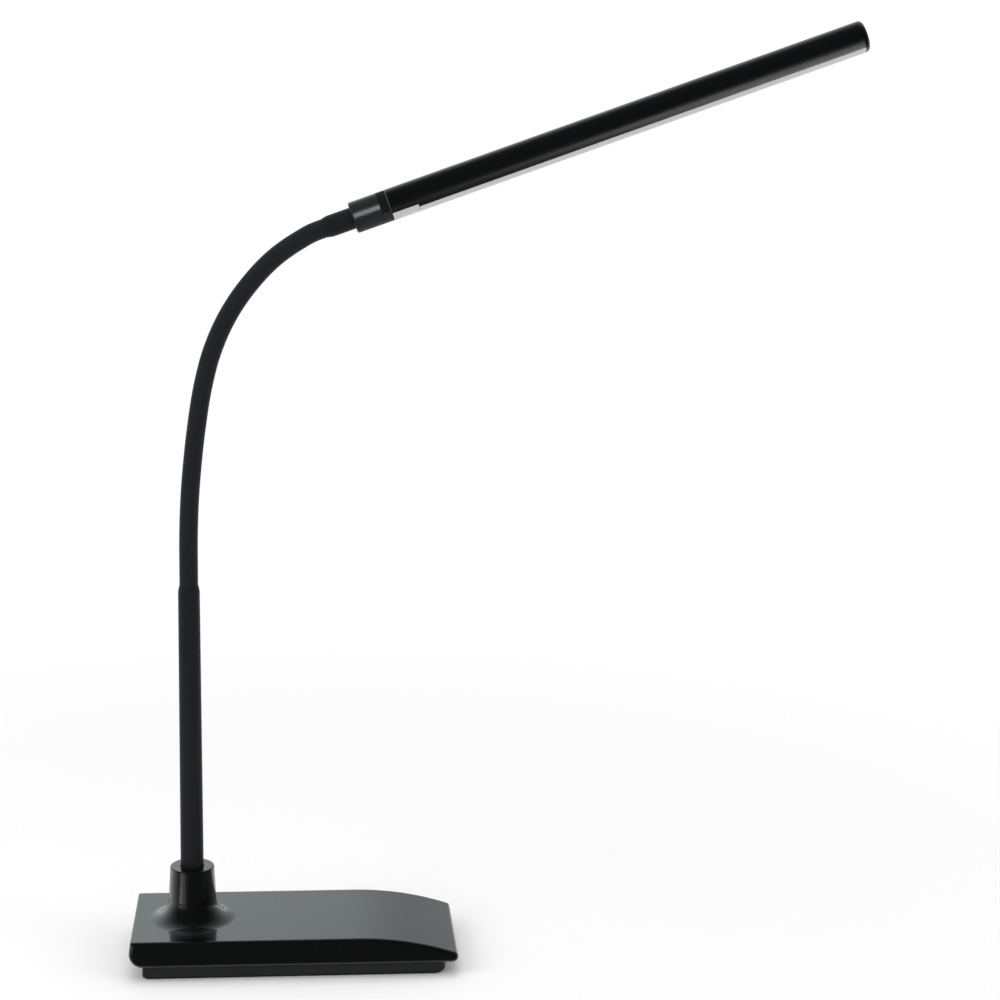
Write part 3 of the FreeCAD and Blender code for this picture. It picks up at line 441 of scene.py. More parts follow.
class Surface:
    """Rings of equal length, from which one mesh is made: each ring has points and normals."""

    def __init__(self):
        self.rings = []
        self.normals = []

    def add(self, points, normals):
        self.rings.append(np.asarray(points, float))
        self.normals.append(np.asarray(normals, float))

    def add_turned(self, profile, spokes):
        """Rings about the stem's axis from (radius, height, normal angle from the horizontal in degrees)."""
        for radius, height, lean in profile:
            a = math.radians(lean)
            ring = np.column_stack(
                (STEM_X + radius * spokes[:, 0], radius * spokes[:, 1], np.full(len(spokes), height))
            )
            normal = np.column_stack((spokes * math.cos(a), np.full(len(spokes), math.sin(a))))
            self.add(ring, normal)


def socket_profile():
    """(radius, height, normal angle) from the socket's bore to the foot of its flare."""
    lip = SOCKET_LIP
    profile = [(SOCKET_BORE, SOCKET_TOP - 0.3, 180), (SOCKET_BORE + 0.1, SOCKET_TOP - 0.1, 120)]
    profile += [(SOCKET_BORE + 0.3, SOCKET_TOP, 90), (9.0, SOCKET_TOP, 90), (10.8, SOCKET_TOP, 90)]
    rim = SOCKET_RADIUS - lip
    for a, (r, z) in zip(np.linspace(90, 2, 7), arc((rim, SOCKET_TOP - lip), lip, 90, 2, 7)):
        profile.append((r, z, a))
    taper = math.degrees(math.atan((WAIST_RADIUS - SOCKET_RADIUS) / (SOCKET_TOP - lip - WAIST_HEIGHT)))
    for share in (0.15, 0.35, 0.55, 0.75, 0.9):
        height = SOCKET_TOP - lip + share * (WAIST_HEIGHT - SOCKET_TOP + lip)
        profile.append((SOCKET_RADIUS + share * (WAIST_RADIUS - SOCKET_RADIUS), height, taper))
    centre = (WAIST_RADIUS + FLARE_RADIUS, WAIST_HEIGHT)
    for a, (r, z) in zip(np.linspace(180, 270, 19), arc(centre, FLARE_RADIUS, 180, 270, 19)):
        profile.append((r, z, a - 180))
    return profile


def bore_profile():
    """(radius, height, normal angle) of the socket's inside, from the cover's ceiling to the top."""
    ceiling = BASE_TOP - COVER_WALL
    relieved = SOCKET_RADIUS - 2.4
    return [
        (20.0, ceiling, 270),
        (9.0, ceiling, 270),
        (7.3, ceiling, 250),
        (7.1, ceiling + 0.3, 190),
        (7.1, 26.0, 180),
        (relieved, 28.5, 180),
        (relieved, 48.0, 180),
        (SOCKET_BORE, 50.5, 180),
        (SOCKET_BORE, 54.0, 180),
    ]


def block_edge(columns, rows, span):
    """Indices round the edge of a block of a grid's rows and columns."""
    first_row, last_row = rows
    first, last = span
    edge = [first_row * columns + c for c in range(first, last)]
    edge += [r * columns + last for r in range(first_row, last_row)]
    edge += [last_row * columns + c for c in range(last, first, -1)]
    edge += [r * columns + first for r in range(last_row, first_row, -1)]
    return edge


def without_block(faces, columns, rows, span):
    """The grid's faces less those inside a block of its rows and columns."""
    kept = []
    for face in faces:
        in_rows = all(rows[0] <= v // columns <= rows[1] for v in face)
        in_span = all(span[0] <= v % columns <= span[1] for v in face)
        if not (in_rows and in_span):
            kept.append(face)
    return kept


def bridge(first, second):
    """Quads between two closed loops of equal length."""
    count = len(first)
    return [(first[k], first[(k + 1) % count], second[(k + 1) % count], second[k]) for k in range(count)]


def plan_ring(inset):
    """Points of the cover's outline from above, shrunk by inset."""
    levels = [(inset, 0.0)]
    ring = slab(BASE_LEFT, BASE_RIGHT, BASE_HALF_DEPTH, RING_RADII, levels, RING_SPACING)[0]
    return np.array(ring)[:, :2]


def at_height(plan, height):
    """Plan points raised to a height."""
    return np.column_stack((plan, np.full(len(plan), height)))


def cover_mesh():
    """Points, faces and normals of the whole cover as one closed skin, with the inlet's hole in its back."""
    outline = plan_ring(0.0)
    shoulder = plan_ring(SHOULDER)
    outward = (outline - shoulder) / SHOULDER
    count = len(outline)
    stem = np.array((STEM_X, 0.0))
    spokes = unit(shoulder - stem)
    skin = Surface()
    skin.add_turned(socket_profile(), spokes)
    foot = stem + spokes * (WAIST_RADIUS + FLARE_RADIUS)
    for share in (*np.linspace(0, 1, 15)[1:-1], 0.965, 0.985):
        plan = foot * (1 - share) + shoulder * share
        ring = np.column_stack((plan, top_height(plan[:, 0])))
        skin.add(ring, slope_of(ring, lambda p: side_distance(p[..., 0], p[..., 2])))
    middle = at_height(shoulder, MIDDLE_HEIGHT)
    walls = []
    sides = ((section_targets(), cover_distance, 1), (inner_targets(), cavity_distance, -1))
    for targets, distance, sign in sides:
        levels = []
        if sign < 0:
            opening = add_opening(skin, shoulder)
            skin.add(at_height(opening, COVER_BOTTOM + COVER_WALL), at_height(-outward, 0.0))
        for inset, height in targets:
            if height in WALL_LEVELS:
                levels.append(len(skin.rings))
            ring = march(middle, at_height(outline - outward * inset, height), distance)
            skin.add(ring, slope_of(ring, distance) * sign)
        walls.append((levels[0], levels[-1]))
    skin.add_turned(bore_profile(), spokes)
    faces = grid_faces(len(skin.rings), count, True)
    points = np.concatenate(skin.rings)
    normals = np.concatenate(skin.normals)
    return with_jack_hole(points, faces, normals, outline, walls)


def add_opening(skin, shoulder):
    """Rings under the cover, from its rounded edge to the opening; returns the opening's outline."""
    low_x, high_x, half_depth, radii = OPENING
    opening = np.array(slab(low_x, high_x, half_depth, radii, [(0.0, 0.0)], RING_SPACING)[0])[:, :2]
    for share in (0.25, 0.5, 0.75, 0.97):
        plan = shoulder * (1 - share) + opening * share
        ring = march(at_height(plan, MIDDLE_HEIGHT), at_height(plan, 0.0), cover_distance)
        skin.add(ring, slope_of(ring, cover_distance))
    low = march(at_height(opening, MIDDLE_HEIGHT), at_height(opening, 0.0), cover_distance)
    skin.add(low, np.tile((0.0, 0.0, -1.0), (len(low), 1)))
    return opening


def with_jack_hole(points, faces, normals, outline, walls):
    """Opens the back wall for the power inlet, with a small chamfer outside."""
    count = len(outline)
    x0, z0, radius = JACK_HOLE
    back = np.where((np.abs(outline[:, 0] - x0) < 7) & (outline[:, 1] > BASE_HALF_DEPTH - 0.01))[0]
    span = (int(back.min()), int(back.max()))
    for rows in walls:
        faces = without_block(faces, count, rows, span)
    outer = block_edge(count, walls[0], span)
    inner = block_edge(count, walls[1], span)
    plan = points[:, [0, 2]]
    inner = [min(inner, key=lambda i: np.linalg.norm(plan[i] - plan[k])) for k in outer]
    angles = np.array([math.atan2(plan[k][1] - z0, plan[k][0] - x0) for k in outer])
    spokes = np.column_stack((np.cos(angles), np.zeros(len(outer)), np.sin(angles)))
    chamfer = 0.25
    wall = BASE_HALF_DEPTH - COVER_WALL
    loops = [outer]
    for size, y, outside in (
        (radius + chamfer, BASE_HALF_DEPTH, True),
        (radius, BASE_HALF_DEPTH - chamfer, False),
        (radius, wall + chamfer, False),
    ):
        loops.append(list(range(len(points), len(points) + len(outer))))
        points = np.concatenate((points, np.array((x0, y, z0)) + spokes * size))
        facing = np.tile((0.0, 1.0, 0.0), (len(outer), 1)) if outside else -spokes
        normals = np.concatenate((normals, facing))
    loops.append(inner)
    for first, second in zip(loops, loops[1:]):
        faces += bridge(first, second)
    return points, faces, normals


def slab(x0, x1, half_depth, radii, levels, spacing):
    """Rings of a plate with rounded corners: levels are (inset, height), and radii are left and right."""
    runs = [int(round(length / spacing)) for length in (BASE_RIGHT - BASE_LEFT, 2 * BASE_HALF_DEPTH)] * 2
    rings = []
    for inset, height in levels:
        left, right = (max(0.4, radius - inset) for radius in radii)
        low_x, high_x = x0 + inset, x1 - inset
        y = half_depth - inset
        corners = [
            arc((high_x - right, y - right), right, 0, 90, 9),
            arc((low_x + left, y - left), left, 90, 180, 9),
            arc((low_x + left, left - y), left, 180, 270, 9),
            arc((high_x - right, right - y), right, 270, 360, 9),
        ]
        ring = []
        for i, corner in enumerate(corners):
            run = np.linspace(corner[-1], corners[(i + 1) % 4][0], runs[i] + 1)
            ring += [*corner, *run[1:-1]]
        rings.append([(x, y, height) for x, y in ring])
    return rings


# Shared effects


def new_group(name, inputs, outputs):
    """An empty node group with inputs (name, socket type, default) and outputs (name, socket type)."""
    group = bpy.data.node_groups.new(name, "ShaderNodeTree")
    for label, kind, default in inputs:
        socket = group.interface.new_socket(label, in_out="INPUT", socket_type=kind)
        socket.default_value = default
    for label, kind in outputs:
        group.interface.new_socket(label, in_out="OUTPUT", socket_type=kind)
    given = group.nodes.new("NodeGroupInput").outputs
    result = group.nodes.new("NodeGroupOutput").inputs
    return group, given, result


def feed(tree, socket, value):
    """Links an input from another socket, or sets its value."""
    if isinstance(value, bpy.types.NodeSocket):
        tree.links.new(value, socket)
    else:
        socket.default_value = value


def add_node(tree, kind, inputs, **settings):
    """A new shader node with its settings, and its inputs fed by label or number."""
    node = tree.nodes.new("ShaderNode" + kind)
    for label, value in settings.items():
        setattr(node, label, value)
    for label, value in inputs.items():
        feed(tree, node.inputs[label], value)
    return node


def noise(tree, vector, scale, detail, roughness=0.55):
    """A noise texture on a vector."""
    inputs = {"Vector": vector, "Scale": scale, "Detail": detail, "Roughness": roughness}
    return add_node(tree, "TexNoise", inputs).outputs["Fac"]


def remap(tree, value, low, high, to_low=0.0, to_high=1.0, shape="LINEAR"):
    """A value mapped from one range to another."""
    inputs = {"Value": value, "From Min": low, "From Max": high, "To Min": to_low, "To Max": to_high}
    return add_node(tree, "MapRange", inputs, interpolation_type=shape).outputs["Result"]


def calculate(tree, operation, first, second):
    """A sum, product or other simple result of two values."""
    return add_node(tree, "Math", {0: first, 1: second}, operation=operation).outputs["Value"]


@cache
def moulded_group():
    """Fine grain and soft cloudiness of a moulded or painted surface."""
    inputs = [
        ("Color", "NodeSocketColor", (0.02, 0.02, 0.02, 1)),
        ("Roughness", "NodeSocketFloat", 0.4),
        ("Grain Scale", "NodeSocketFloat", 1600.0),
        ("Grain Height", "NodeSocketFloat", GRAIN_HEIGHT),
        ("Cloudiness", "NodeSocketFloat", 0.15),
        ("Stretch", "NodeSocketVector", (1, 1, 1)),
    ]
    outputs = [("Color", "NodeSocketColor"), ("Roughness", "NodeSocketFloat"), ("Height", "NodeSocketFloat")]
    group, given, result = new_group("Moulded surface", inputs, outputs)
    place = group.nodes.new("ShaderNodeTexCoord").outputs["Object"]
    stretched = add_node(group, "VectorMath", {0: place, 1: given["Stretch"]}, operation="MULTIPLY")
    grain = noise(group, stretched.outputs["Vector"], given["Grain Scale"], 3.0, 0.5)
    cloud = calculate(group, "SUBTRACT", noise(group, place, 26.0, 4.0), 0.5)
    swing = calculate(group, "MULTIPLY", cloud, given["Cloudiness"])
    fine = calculate(group, "MULTIPLY", calculate(group, "SUBTRACT", grain, 0.5), 0.35)
    fine = calculate(group, "MULTIPLY", fine, given["Grain Height"])
    level = calculate(group, "ADD", calculate(group, "ADD", 1.0, swing), fine)
    tone = add_node(group, "VectorMath", {0: given["Color"], "Scale": level}, operation="SCALE")
    rough = calculate(group, "ADD", 1.0, calculate(group, "MULTIPLY", swing, 1.5))
    feed(group, result["Color"], tone.outputs["Vector"])
    feed(group, result["Roughness"], calculate(group, "MULTIPLY", rough, given["Roughness"]))
    feed(group, result["Height"], calculate(group, "MULTIPLY", grain, given["Grain Height"]))
    return group


@cache
def handled_group():
    """Faint smudges that dull a glossy surface here and there."""
    inputs = [("Roughness", "NodeSocketFloat", 0.08), ("Smudges", "NodeSocketFloat", 0.06)]
    group, given, result = new_group("Handled surface", inputs, [("Roughness", "NodeSocketFloat")])
    place = group.nodes.new("ShaderNodeTexCoord").outputs["Object"]
    smudge = remap(group, noise(group, place, 14.0, 5.0, 0.6), 0.42, 0.75, 0.0, given["Smudges"])
    feed(group, result["Roughness"], calculate(group, "ADD", given["Roughness"], smudge))
    return group


def finish(name, color, roughness, grain_depth, grain_scale=1600.0, cloudiness=0.15, **options):
    """A physical material with the moulded surface's grain, its depth in millimetres.

    handled is how much the smudges dull it, and edge_coat holds the weight, start, end and index of a coat
    that comes in towards its edges. The other options are Principled values by name.
    """
    stretch = options.pop("stretch", (1, 1, 1))
    edge_coat = options.pop("edge_coat", None)
    handled = options.pop("handled", None)
    material = bpy.data.materials.new(name)
    material.use_nodes = True
    tree = material.node_tree
    shader = tree.nodes["Principled BSDF"].inputs
    inputs = {
        "Color": (*color, 1),
        "Roughness": roughness,
        "Grain Scale": grain_scale,
        "Grain Height": GRAIN_HEIGHT,
        "Cloudiness": cloudiness,
        "Stretch": stretch,
    }
    surface = add_node(tree, "Group", inputs, node_tree=moulded_group()).outputs
    feed(tree, shader["Base Color"], surface["Color"])
    rough = surface["Roughness"]
    if handled:
        inputs = {"Roughness": rough, "Smudges": handled}
        rough = add_node(tree, "Group", inputs, node_tree=handled_group()).outputs["Roughness"]
    feed(tree, shader["Roughness"], rough)
    inputs = {"Height": surface["Height"], "Distance": grain_depth * MM, "Strength": 1.0}
    feed(tree, shader["Normal"], add_node(tree, "Bump", inputs).outputs["Normal"])
    if edge_coat:
        weight, start, end, index = edge_coat
        facing = add_node(tree, "LayerWeight", {"Blend": 0.5}).outputs["Facing"]
        feed(tree, shader["Coat Weight"], remap(tree, facing, start, end, 0.0, weight, "SMOOTHSTEP"))
        shader["Coat IOR"].default_value = index
    for label, value in options.items():
        shader[label.replace("_", " ").title().replace("Ior", "IOR")].default_value = value
    return material


@cache
def finish_for(look):
    """The material of one of the record's slots, or of the adapter's collar or of the pale ring where the
    collar meets the tube, whose light grey is a painted highlight, made once.

    The values are colour, roughness, grain depth in millimetres, and other options.
    """
    lamp = bpy.context.scene.lamp_settings
    black = tuple(lamp.gloss_color)
    paint = tuple(lamp.paint_color)
    pale = tuple(lamp.strip_color)
    adapter = tuple(5 * c for c in black)
    rubber = tuple(1.2 * c for c in paint)
    gloss = {"specular_ior_level": 0.05, "edge_coat": SHEEN, "coat_roughness": 0.03}
    adapter_gloss = {**gloss, "specular_ior_level": 0.15, "edge_coat": ADAPTER_SHEEN}
    brushed = {"grain_scale": 1400, "stretch": (0.02, 1, 1)}
    looks = {
        "cover_plastic": (black, 0.3, 0.002, {"handled": 0.05, "cloudiness": 0.1, **gloss}),
        "tray_plastic": ((0.0165, 0.018, 0.0185), 0.5, 0.03, {"specular_ior_level": 0.12}),
        "cast_ballast": ((0.10, 0.10, 0.11), 0.6, 0.1, {"metallic": 0.8, "grain_scale": 500}),
        "pad_foam": ((0.015, 0.015, 0.015), 0.9, 0.15, {"grain_scale": 900, "specular_ior_level": 0.1}),
        "zinc_steel": ((0.55, 0.56, 0.58), 0.3, 0.01, {"metallic": 1.0}),
        "jack_plastic": ((0.012, 0.012, 0.013), 0.35, 0.01, {"specular_ior_level": 0.3}),
        "circuit_board": ((0.02, 0.12, 0.05), 0.35, 0.02, {"grain_scale": 300}),
        "copper": ((0.75, 0.36, 0.2), 0.3, 0.02, {"metallic": 1.0}),
        "lead_jacket": ((0.02, 0.02, 0.02), 0.5, 0.02, {}),
        "stem_paint": (paint, 0.45, 0.02, {"grain_scale": 1500, "specular_ior_level": 0.1}),
        "neck_rubber": (rubber, 0.5, 0.03, {"grain_scale": 1200, "specular_ior_level": 0.1}),
        "core_steel": ((0.4, 0.4, 0.42), 0.35, 0.02, {"metallic": 1.0}),
        "ferrule_paint": (paint, 0.4, 0.015, {"grain_scale": 1500, "specular_ior_level": 0.08}),
        "adapter_plastic": (adapter, 0.22, 0.003, {"handled": 0.04, **adapter_gloss}),
        "shell_plastic": ((0.015, 0.016, 0.0175), 0.4, 0.01, {"specular_ior_level": 0.12}),
        "collar": ((0.005, 0.0055, 0.006), 0.45, 0.01, {"specular_ior_level": 0.06}),
        # Pale grey ring at the collar's end: its colour is a painted highlight on the edge where the collar
        # meets the tube
        "seam": ((0.09, 0.092, 0.095), 0.4, 0.01, {}),
        "tube_aluminium": (black, 0.3, 0.004, {"handled": 0.05, **brushed, **gloss, "edge_coat": TUBE_SHEEN}),
        "opal_plastic": (pale, 0.45, 0.01, {"cloudiness": 0.05}),
        "block_plastic": (pale, 0.35, 0.01, {"cloudiness": 0.06}),
        "board_aluminium": ((0.7, 0.7, 0.68), 0.4, 0.01, {}),
        "led_phosphor": ((0.8, 0.6, 0.15), 0.5, 0.01, {}),
        "cap_plastic": (black, 0.2, 0.004, {"handled": 0.04, **gloss}),
    }
    color, roughness, grain_depth, options = looks[look]
    return finish(look, color, roughness, grain_depth, **options)


# Settings


def color_setting(name, description, default):
    """A colour of the lamp."""
    return FloatVectorProperty(
        name=name, description=description, subtype="COLOR", size=3, min=0, max=1, default=default
    )


def power_setting(name, description, default):
    """The power of one of the lights."""
    return FloatProperty(
        name=name, description=description, subtype="POWER", unit="POWER", min=0, default=default
    )


class LampSettings(bpy.types.PropertyGroup):
    """Sizes and colours that a user would change."""

    gloss_color: color_setting("Gloss black", "Colour of the glossy black plastic", (0.0014, 0.0017, 0.0019))
    paint_color: color_setting("Stem paint", "Colour of the stem and the neck", (0.0075, 0.0088, 0.0112))
    strip_color: color_setting("Strip", "Colour of the light strip when it is off", (0.55, 0.55, 0.545))
    ring_spacing: FloatProperty(
        name="Neck ring spacing",
        description="Distance between the rings of the neck's covering",
        subtype="DISTANCE",
        unit="LENGTH",
        min=0.0003,
        default=0.0011,
    )
    segments: IntProperty(name="Segments", description="Sides of every turned piece", min=24, default=96)


class StudioSettings(bpy.types.PropertyGroup):
    """Camera and light levels."""

    focal_length: FloatProperty(
        name="Focal length",
        description="Lens of the camera, on a 36 mm wide sensor",
        subtype="DISTANCE_CAMERA",
        min=10,
        default=82.8,
    )
    sky: FloatProperty(name="Sky", description="Level of the even light from all round", min=0, default=0.55)
    key: power_setting("Key light", "Power of the large soft light at the left", 14.0)
    fill: power_setting("Fill light", "Power of the soft light at the right", 6.0)
    top: power_setting("Top light", "Power of the soft light overhead", 12.0)


# Pieces


class LAMP_OT_frame_finishes(bpy.types.Operator):
    """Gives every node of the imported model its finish"""

    bl_idname = "lamp.frame_finishes"
    bl_label = "Frame finishes"

    def execute(self, context):
        for entry in frame["record"]["subparts"]:
            mesh = frame["nodes"][entry["node"]].data
            mesh.materials.clear()
            mesh.materials.append(finish_for(entry["material_slot"]))
        return {"FINISHED"}


class LAMP_OT_cover(bpy.types.Operator):
    """Builds the base cover with its flared socket"""

    bl_idname = "lamp.cover"
    bl_label = "Base cover"

    def execute(self, context):
        points, faces, normals = cover_mesh()
        build_piece("cover", (points, faces), "base", "cover_plastic", ["base_cover"], normals=normals)
        return {"FINISHED"}


class LAMP_OT_tray(bpy.types.Operator):
    """Builds the under-plate and the foam pad"""

    bl_idname = "lamp.tray"
    bl_label = "Tray and pad"

    def execute(self, context):
        shape = capped_stack(slab(*TRAY, TRAY_LEVELS, PLATE_SPACING))
        build_piece("tray", shape, "base", "tray_plastic", ["base_tray"])
        shape = capped_stack(slab(*PAD, PAD_LEVELS, PLATE_SPACING))
        build_piece("pad", shape, "base", "pad_foam", ["non_slip_pad"])
        return {"FINISHED"}


class LAMP_OT_stem(bpy.types.Operator):
    """Builds the tapered stem with its chamfered top"""

    bl_idname = "lamp.stem"
    bl_label = "Stem"

    def execute(self, context):
        profile = rounded(
            [
                (NECK_BORE, STEM_FOOT[1], 0.1),
                (*STEM_FOOT, 0.2),
                (*STEM_SHOULDER, 0.5),
                (*STEM_TIP, 0.12),
                (NECK_BORE, STEM_TIP[1], 0.05),
            ]
        )
        place = Matrix.Translation((STEM_X * MM, 0, 0))
        build_piece("stem", turned(profile, upright=True), "base", "stem_paint", ["stem_tube"], place=place)
        return {"FINISHED"}


def neck_curve():
    """Points close together on the neck's centreline, and the index of each bend point among them."""
    joints = [Vector(j["pos_m"]) / MM for j in frame["joints"]]
    place = head_place()
    along = place.to_3x3() @ Vector((1, 0, 0))
    end = place.translation / MM + along * FERRULE_START
    stem_top = Vector((STEM_X, 0, 224.0))
    knots = [Vector((STEM_X, 0, NECK_START)), stem_top, *joints, end, end + along * 9.0]
    tangents = []
    for i, knot in enumerate(knots):
        before = knots[max(i - 1, 0)]
        after = knots[min(i + 1, len(knots) - 1)]
        tangents.append((after - before).normalized())
    tangents[0] = tangents[1] = Vector((0, 0, 1))
    tangents[-1] = tangents[-2] = along
    points = []
    marks = []
    for i in range(len(knots) - 1):
        a, b = knots[i], knots[i + 1]
        gap = (b - a).length
        count = int(gap / NECK_STEP)
        marks.append(len(points))
        for k in range(count):
            t = k / count
            h1 = 2 * t**3 - 3 * t**2 + 1
            h2 = t**3 - 2 * t**2 + t
            h3 = 3 * t**2 - 2 * t**3
            h4 = t**3 - t**2
            points.append(a * h1 + tangents[i] * (gap * h2) + b * h3 + tangents[i + 1] * (gap * h4))
    points.append(knots[-1])
    return np.array(points), marks[2:-1]


class LAMP_OT_neck(bpy.types.Operator):
    """Builds the neck's covering as lengths of skin across the bend points, two of which meet in a knuckle"""

    bl_idname = "lamp.neck"
    bl_label = "Neck"

    def execute(self, context):
        path, marks = neck_curve()
        ahead = unit(np.gradient(path, axis=0))
        travelled = np.concatenate(([0], np.cumsum(np.linalg.norm(np.diff(path, axis=0), axis=1))))
        cuts = [0] + [(a + b) // 2 for a, b in zip(marks, marks[1:])] + [len(path) - 1]
        spacing = context.scene.lamp_settings.ring_spacing / MM
        for k, joint in enumerate(frame["joints"]):
            start, end = cuts[k], cuts[k + 1]
            count = max(2, int(round((travelled[end] - travelled[start]) / spacing)))
            wanted = np.linspace(travelled[start], travelled[end], count + 1)
            picks = np.clip(np.searchsorted(travelled, wanted), start, end)
            nodes = ["neck_sleeve_%d" % (k + 1)]
            next_node = "neck_sleeve_%d" % (k + 2)
            if k == len(frame["joints"]) - 1:
                nodes.append(next_node)
            name = "neck_skin_%d" % (k + 1)
            if joint["name"] == KNUCKLE_JOINT:
                bend = int(np.argmin(np.abs(picks - marks[k])))
                picks[bend] = marks[k]
                self.skin(name, path, ahead, picks[: bend + 1], nodes, joint["parent"], KNUCKLE_ANGLES)
                self.skin(name + "_far", path, ahead, picks[bend:], [next_node], joint["child"])
                continue
            skin = self.skin(name, path, ahead, picks, nodes, None)
            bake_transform(skin)
        return {"FINISHED"}

    def skin(self, name, path, ahead, picks, nodes, body, knuckle=()):
        """A hollow tube along the picked points, which may end in a round knuckle."""
        sides = segments() * 2 // 3
        inner = [picks[-1], picks[len(picks) // 2], picks[0]]
        rows = [(index, NECK_RADIUS, 0.0, 1) for index in picks]
        rows += [(picks[-1], NECK_RADIUS, angle, 1) for angle in knuckle]
        rows += [(picks[-1], NECK_INNER, angle, -1) for angle in reversed(knuckle)]
        rows += [(index, NECK_INNER, 0.0, -1) for index in inner]
        points = []
        normals = []
        for index, radius, angle, sign in rows:
            across = unit(np.cross(ahead[index], (0, 1, 0)))
            other = np.cross(ahead[index], across)
            lean = math.radians(angle)
            for turn in np.linspace(0, 2 * math.pi, sides, endpoint=False):
                outward = across * math.cos(turn) + other * math.sin(turn)
                outward = outward * math.cos(lean) + ahead[index] * math.sin(lean)
                points.append(path[index] + outward * radius)
                normals.append(outward * sign)
        shape = (points, grid_faces(len(rows), sides, True))
        return build_piece(name, shape, body, "neck_rubber", nodes, normals=normals)


class LAMP_OT_ferrule(bpy.types.Operator):
    """Builds the ferrule between the neck and the head"""

    bl_idname = "lamp.ferrule"
    bl_label = "Ferrule"

    def execute(self, context):
        profile = rounded(
            [
                (FERRULE_START, NECK_BORE, 0.03),
                (FERRULE_START, NECK_RADIUS + 0.12, 0.06),
                (FERRULE_START + 3.4, FERRULE_RADIUS, 2.0),
                (FERRULE_END, FERRULE_RADIUS, 0.2),
                (FERRULE_END, NECK_BORE, 0.1),
            ]
        )
        build_piece("ferrule", turned(profile), "head", "ferrule_paint", ["head_ferrule"], place=head_place())
        return {"FINISHED"}


class LAMP_OT_adapter(bpy.types.Operator):
    """Builds the glossy adapter, its matte collar and its lower shell"""

    bl_idname = "lamp.adapter"
    bl_label = "Adapter"

    def execute(self, context):
        place = head_place()
        bore = FERRULE_RADIUS + 0.02
        profile = rounded(
            [
                (0.0, bore, 0.2),
                (0.0, ADAPTER_RADIUS, 1.0),
                (COLLAR_START, ADAPTER_RADIUS, 0.12),
                (COLLAR_START, bore, 0.1),
            ]
        )
        build_piece("adapter", turned(profile), "head", "adapter_plastic", ["head_adapter"], place=place)
        # The thin ring that ends the collar is pale grey, a painted highlight on that edge
        seam = ADAPTER_END - 0.35
        for look, low, high, radius in (
            ("collar", COLLAR_START, seam, ADAPTER_RADIUS - 0.04),
            ("seam", seam, ADAPTER_END - 0.05, ADAPTER_RADIUS - 0.01),
        ):
            corners = ((low, 3.0), (low, radius), (high, radius), (high, 3.0))
            shape = turned(rounded([(s, r, 0.05) for s, r in corners]))
            name = "adapter_" + look
            build_piece(name, shape, "head", "adapter_plastic", ["head_adapter"], place=place, look=look)
        build_piece(
            "adapter_shell", self.lower_shell(), "head", "shell_plastic", ["adapter_lower_shell"], place=place
        )
        return {"FINISHED"}

    def lower_shell(self):
        """The shell's band, with the half width of each cross-section from its top edge."""
        swept = np.concatenate((np.linspace(0.95, 3.0, 8), np.linspace(3.0, SHELL_STEP - 0.02, 16)[1:]))
        rows = [(s, self.edge_height(s)) for s in swept]
        rows.append((SHELL_STEP + 0.02, SHELL_DROP))
        for s in np.linspace(18.0, ADAPTER_END - 0.1, 5):
            rows.append((s, SHELL_DROP * (1 + (s - SHELL_STEP) / SHELL_RUN)))
        sections = []
        outer = ADAPTER_RADIUS + 0.03
        for s, height in rows:
            half = math.degrees(math.acos(min(1.0, -height / outer)))
            sections.append((s, open_ring(outer, outer - 0.7, -half, half, 0.15, 24)))
        return carried(sections)

    def edge_height(self, s):
        """Height of the shell's swept top edge: an arc through three points."""
        (x1, y1), (x2, y2), (x3, y3) = SHELL_EDGE
        a = np.array(((x2 - x1, y2 - y1), (x3 - x1, y3 - y1)))
        b = np.array(((x2**2 - x1**2 + y2**2 - y1**2) / 2, (x3**2 - x1**2 + y3**2 - y1**2) / 2))
        cx, cy = np.linalg.solve(a, b)
        radius = math.hypot(x1 - cx, y1 - cy)
        return cy + math.sqrt(radius**2 - (s - cx) ** 2)


def polar(radius, angle):
    """A point at an angle in degrees from straight down, towards +Y."""
    a = math.radians(angle)
    return np.array((radius * math.sin(a), -radius * math.cos(a)))


def open_ring(outer, inner, first, last, corner, count):
    """A closed outline of part of a ring, from the first to the last angle, with rounded corners."""
    points = []
    for radius, sign, begin, stop in ((outer, -1, first, last), (inner, 1, last, first)):
        centre_radius = radius + sign * corner
        margin = math.degrees(corner / centre_radius)
        turn = 1 if stop > begin else -1
        start = begin + turn * margin
        end = stop - turn * margin
        points += ring_corner(centre_radius, start, corner, sign, turn, True)
        points += [polar(radius, a) for a in np.linspace(start, end, count)[1:-1]]
        points += ring_corner(centre_radius, end, corner, sign, turn, False)
    return [(float(y), float(z)) for y, z in points]


def ring_corner(centre_radius, angle, corner, sign, turn, opening):
    """The rounded corner where an open ring's arc meets its flat edge."""
    centre = polar(centre_radius, angle)
    radial = polar(1.0, angle) * -sign
    side = polar(1.0, angle + 90) * turn * (-1 if opening else 1)
    points = []
    for t in np.linspace(0, 90, 5):
        a = math.radians(t)
        first, second = (side, radial) if opening else (radial, side)
        points.append(centre + (first * math.cos(a) + second * math.sin(a)) * corner)
    return points


def carried(sections):
    """Points and faces of outlines carried along the head, from (distance, outline)."""
    return capped_stack([[(s, y, z) for y, z in outline] for s, outline in sections])


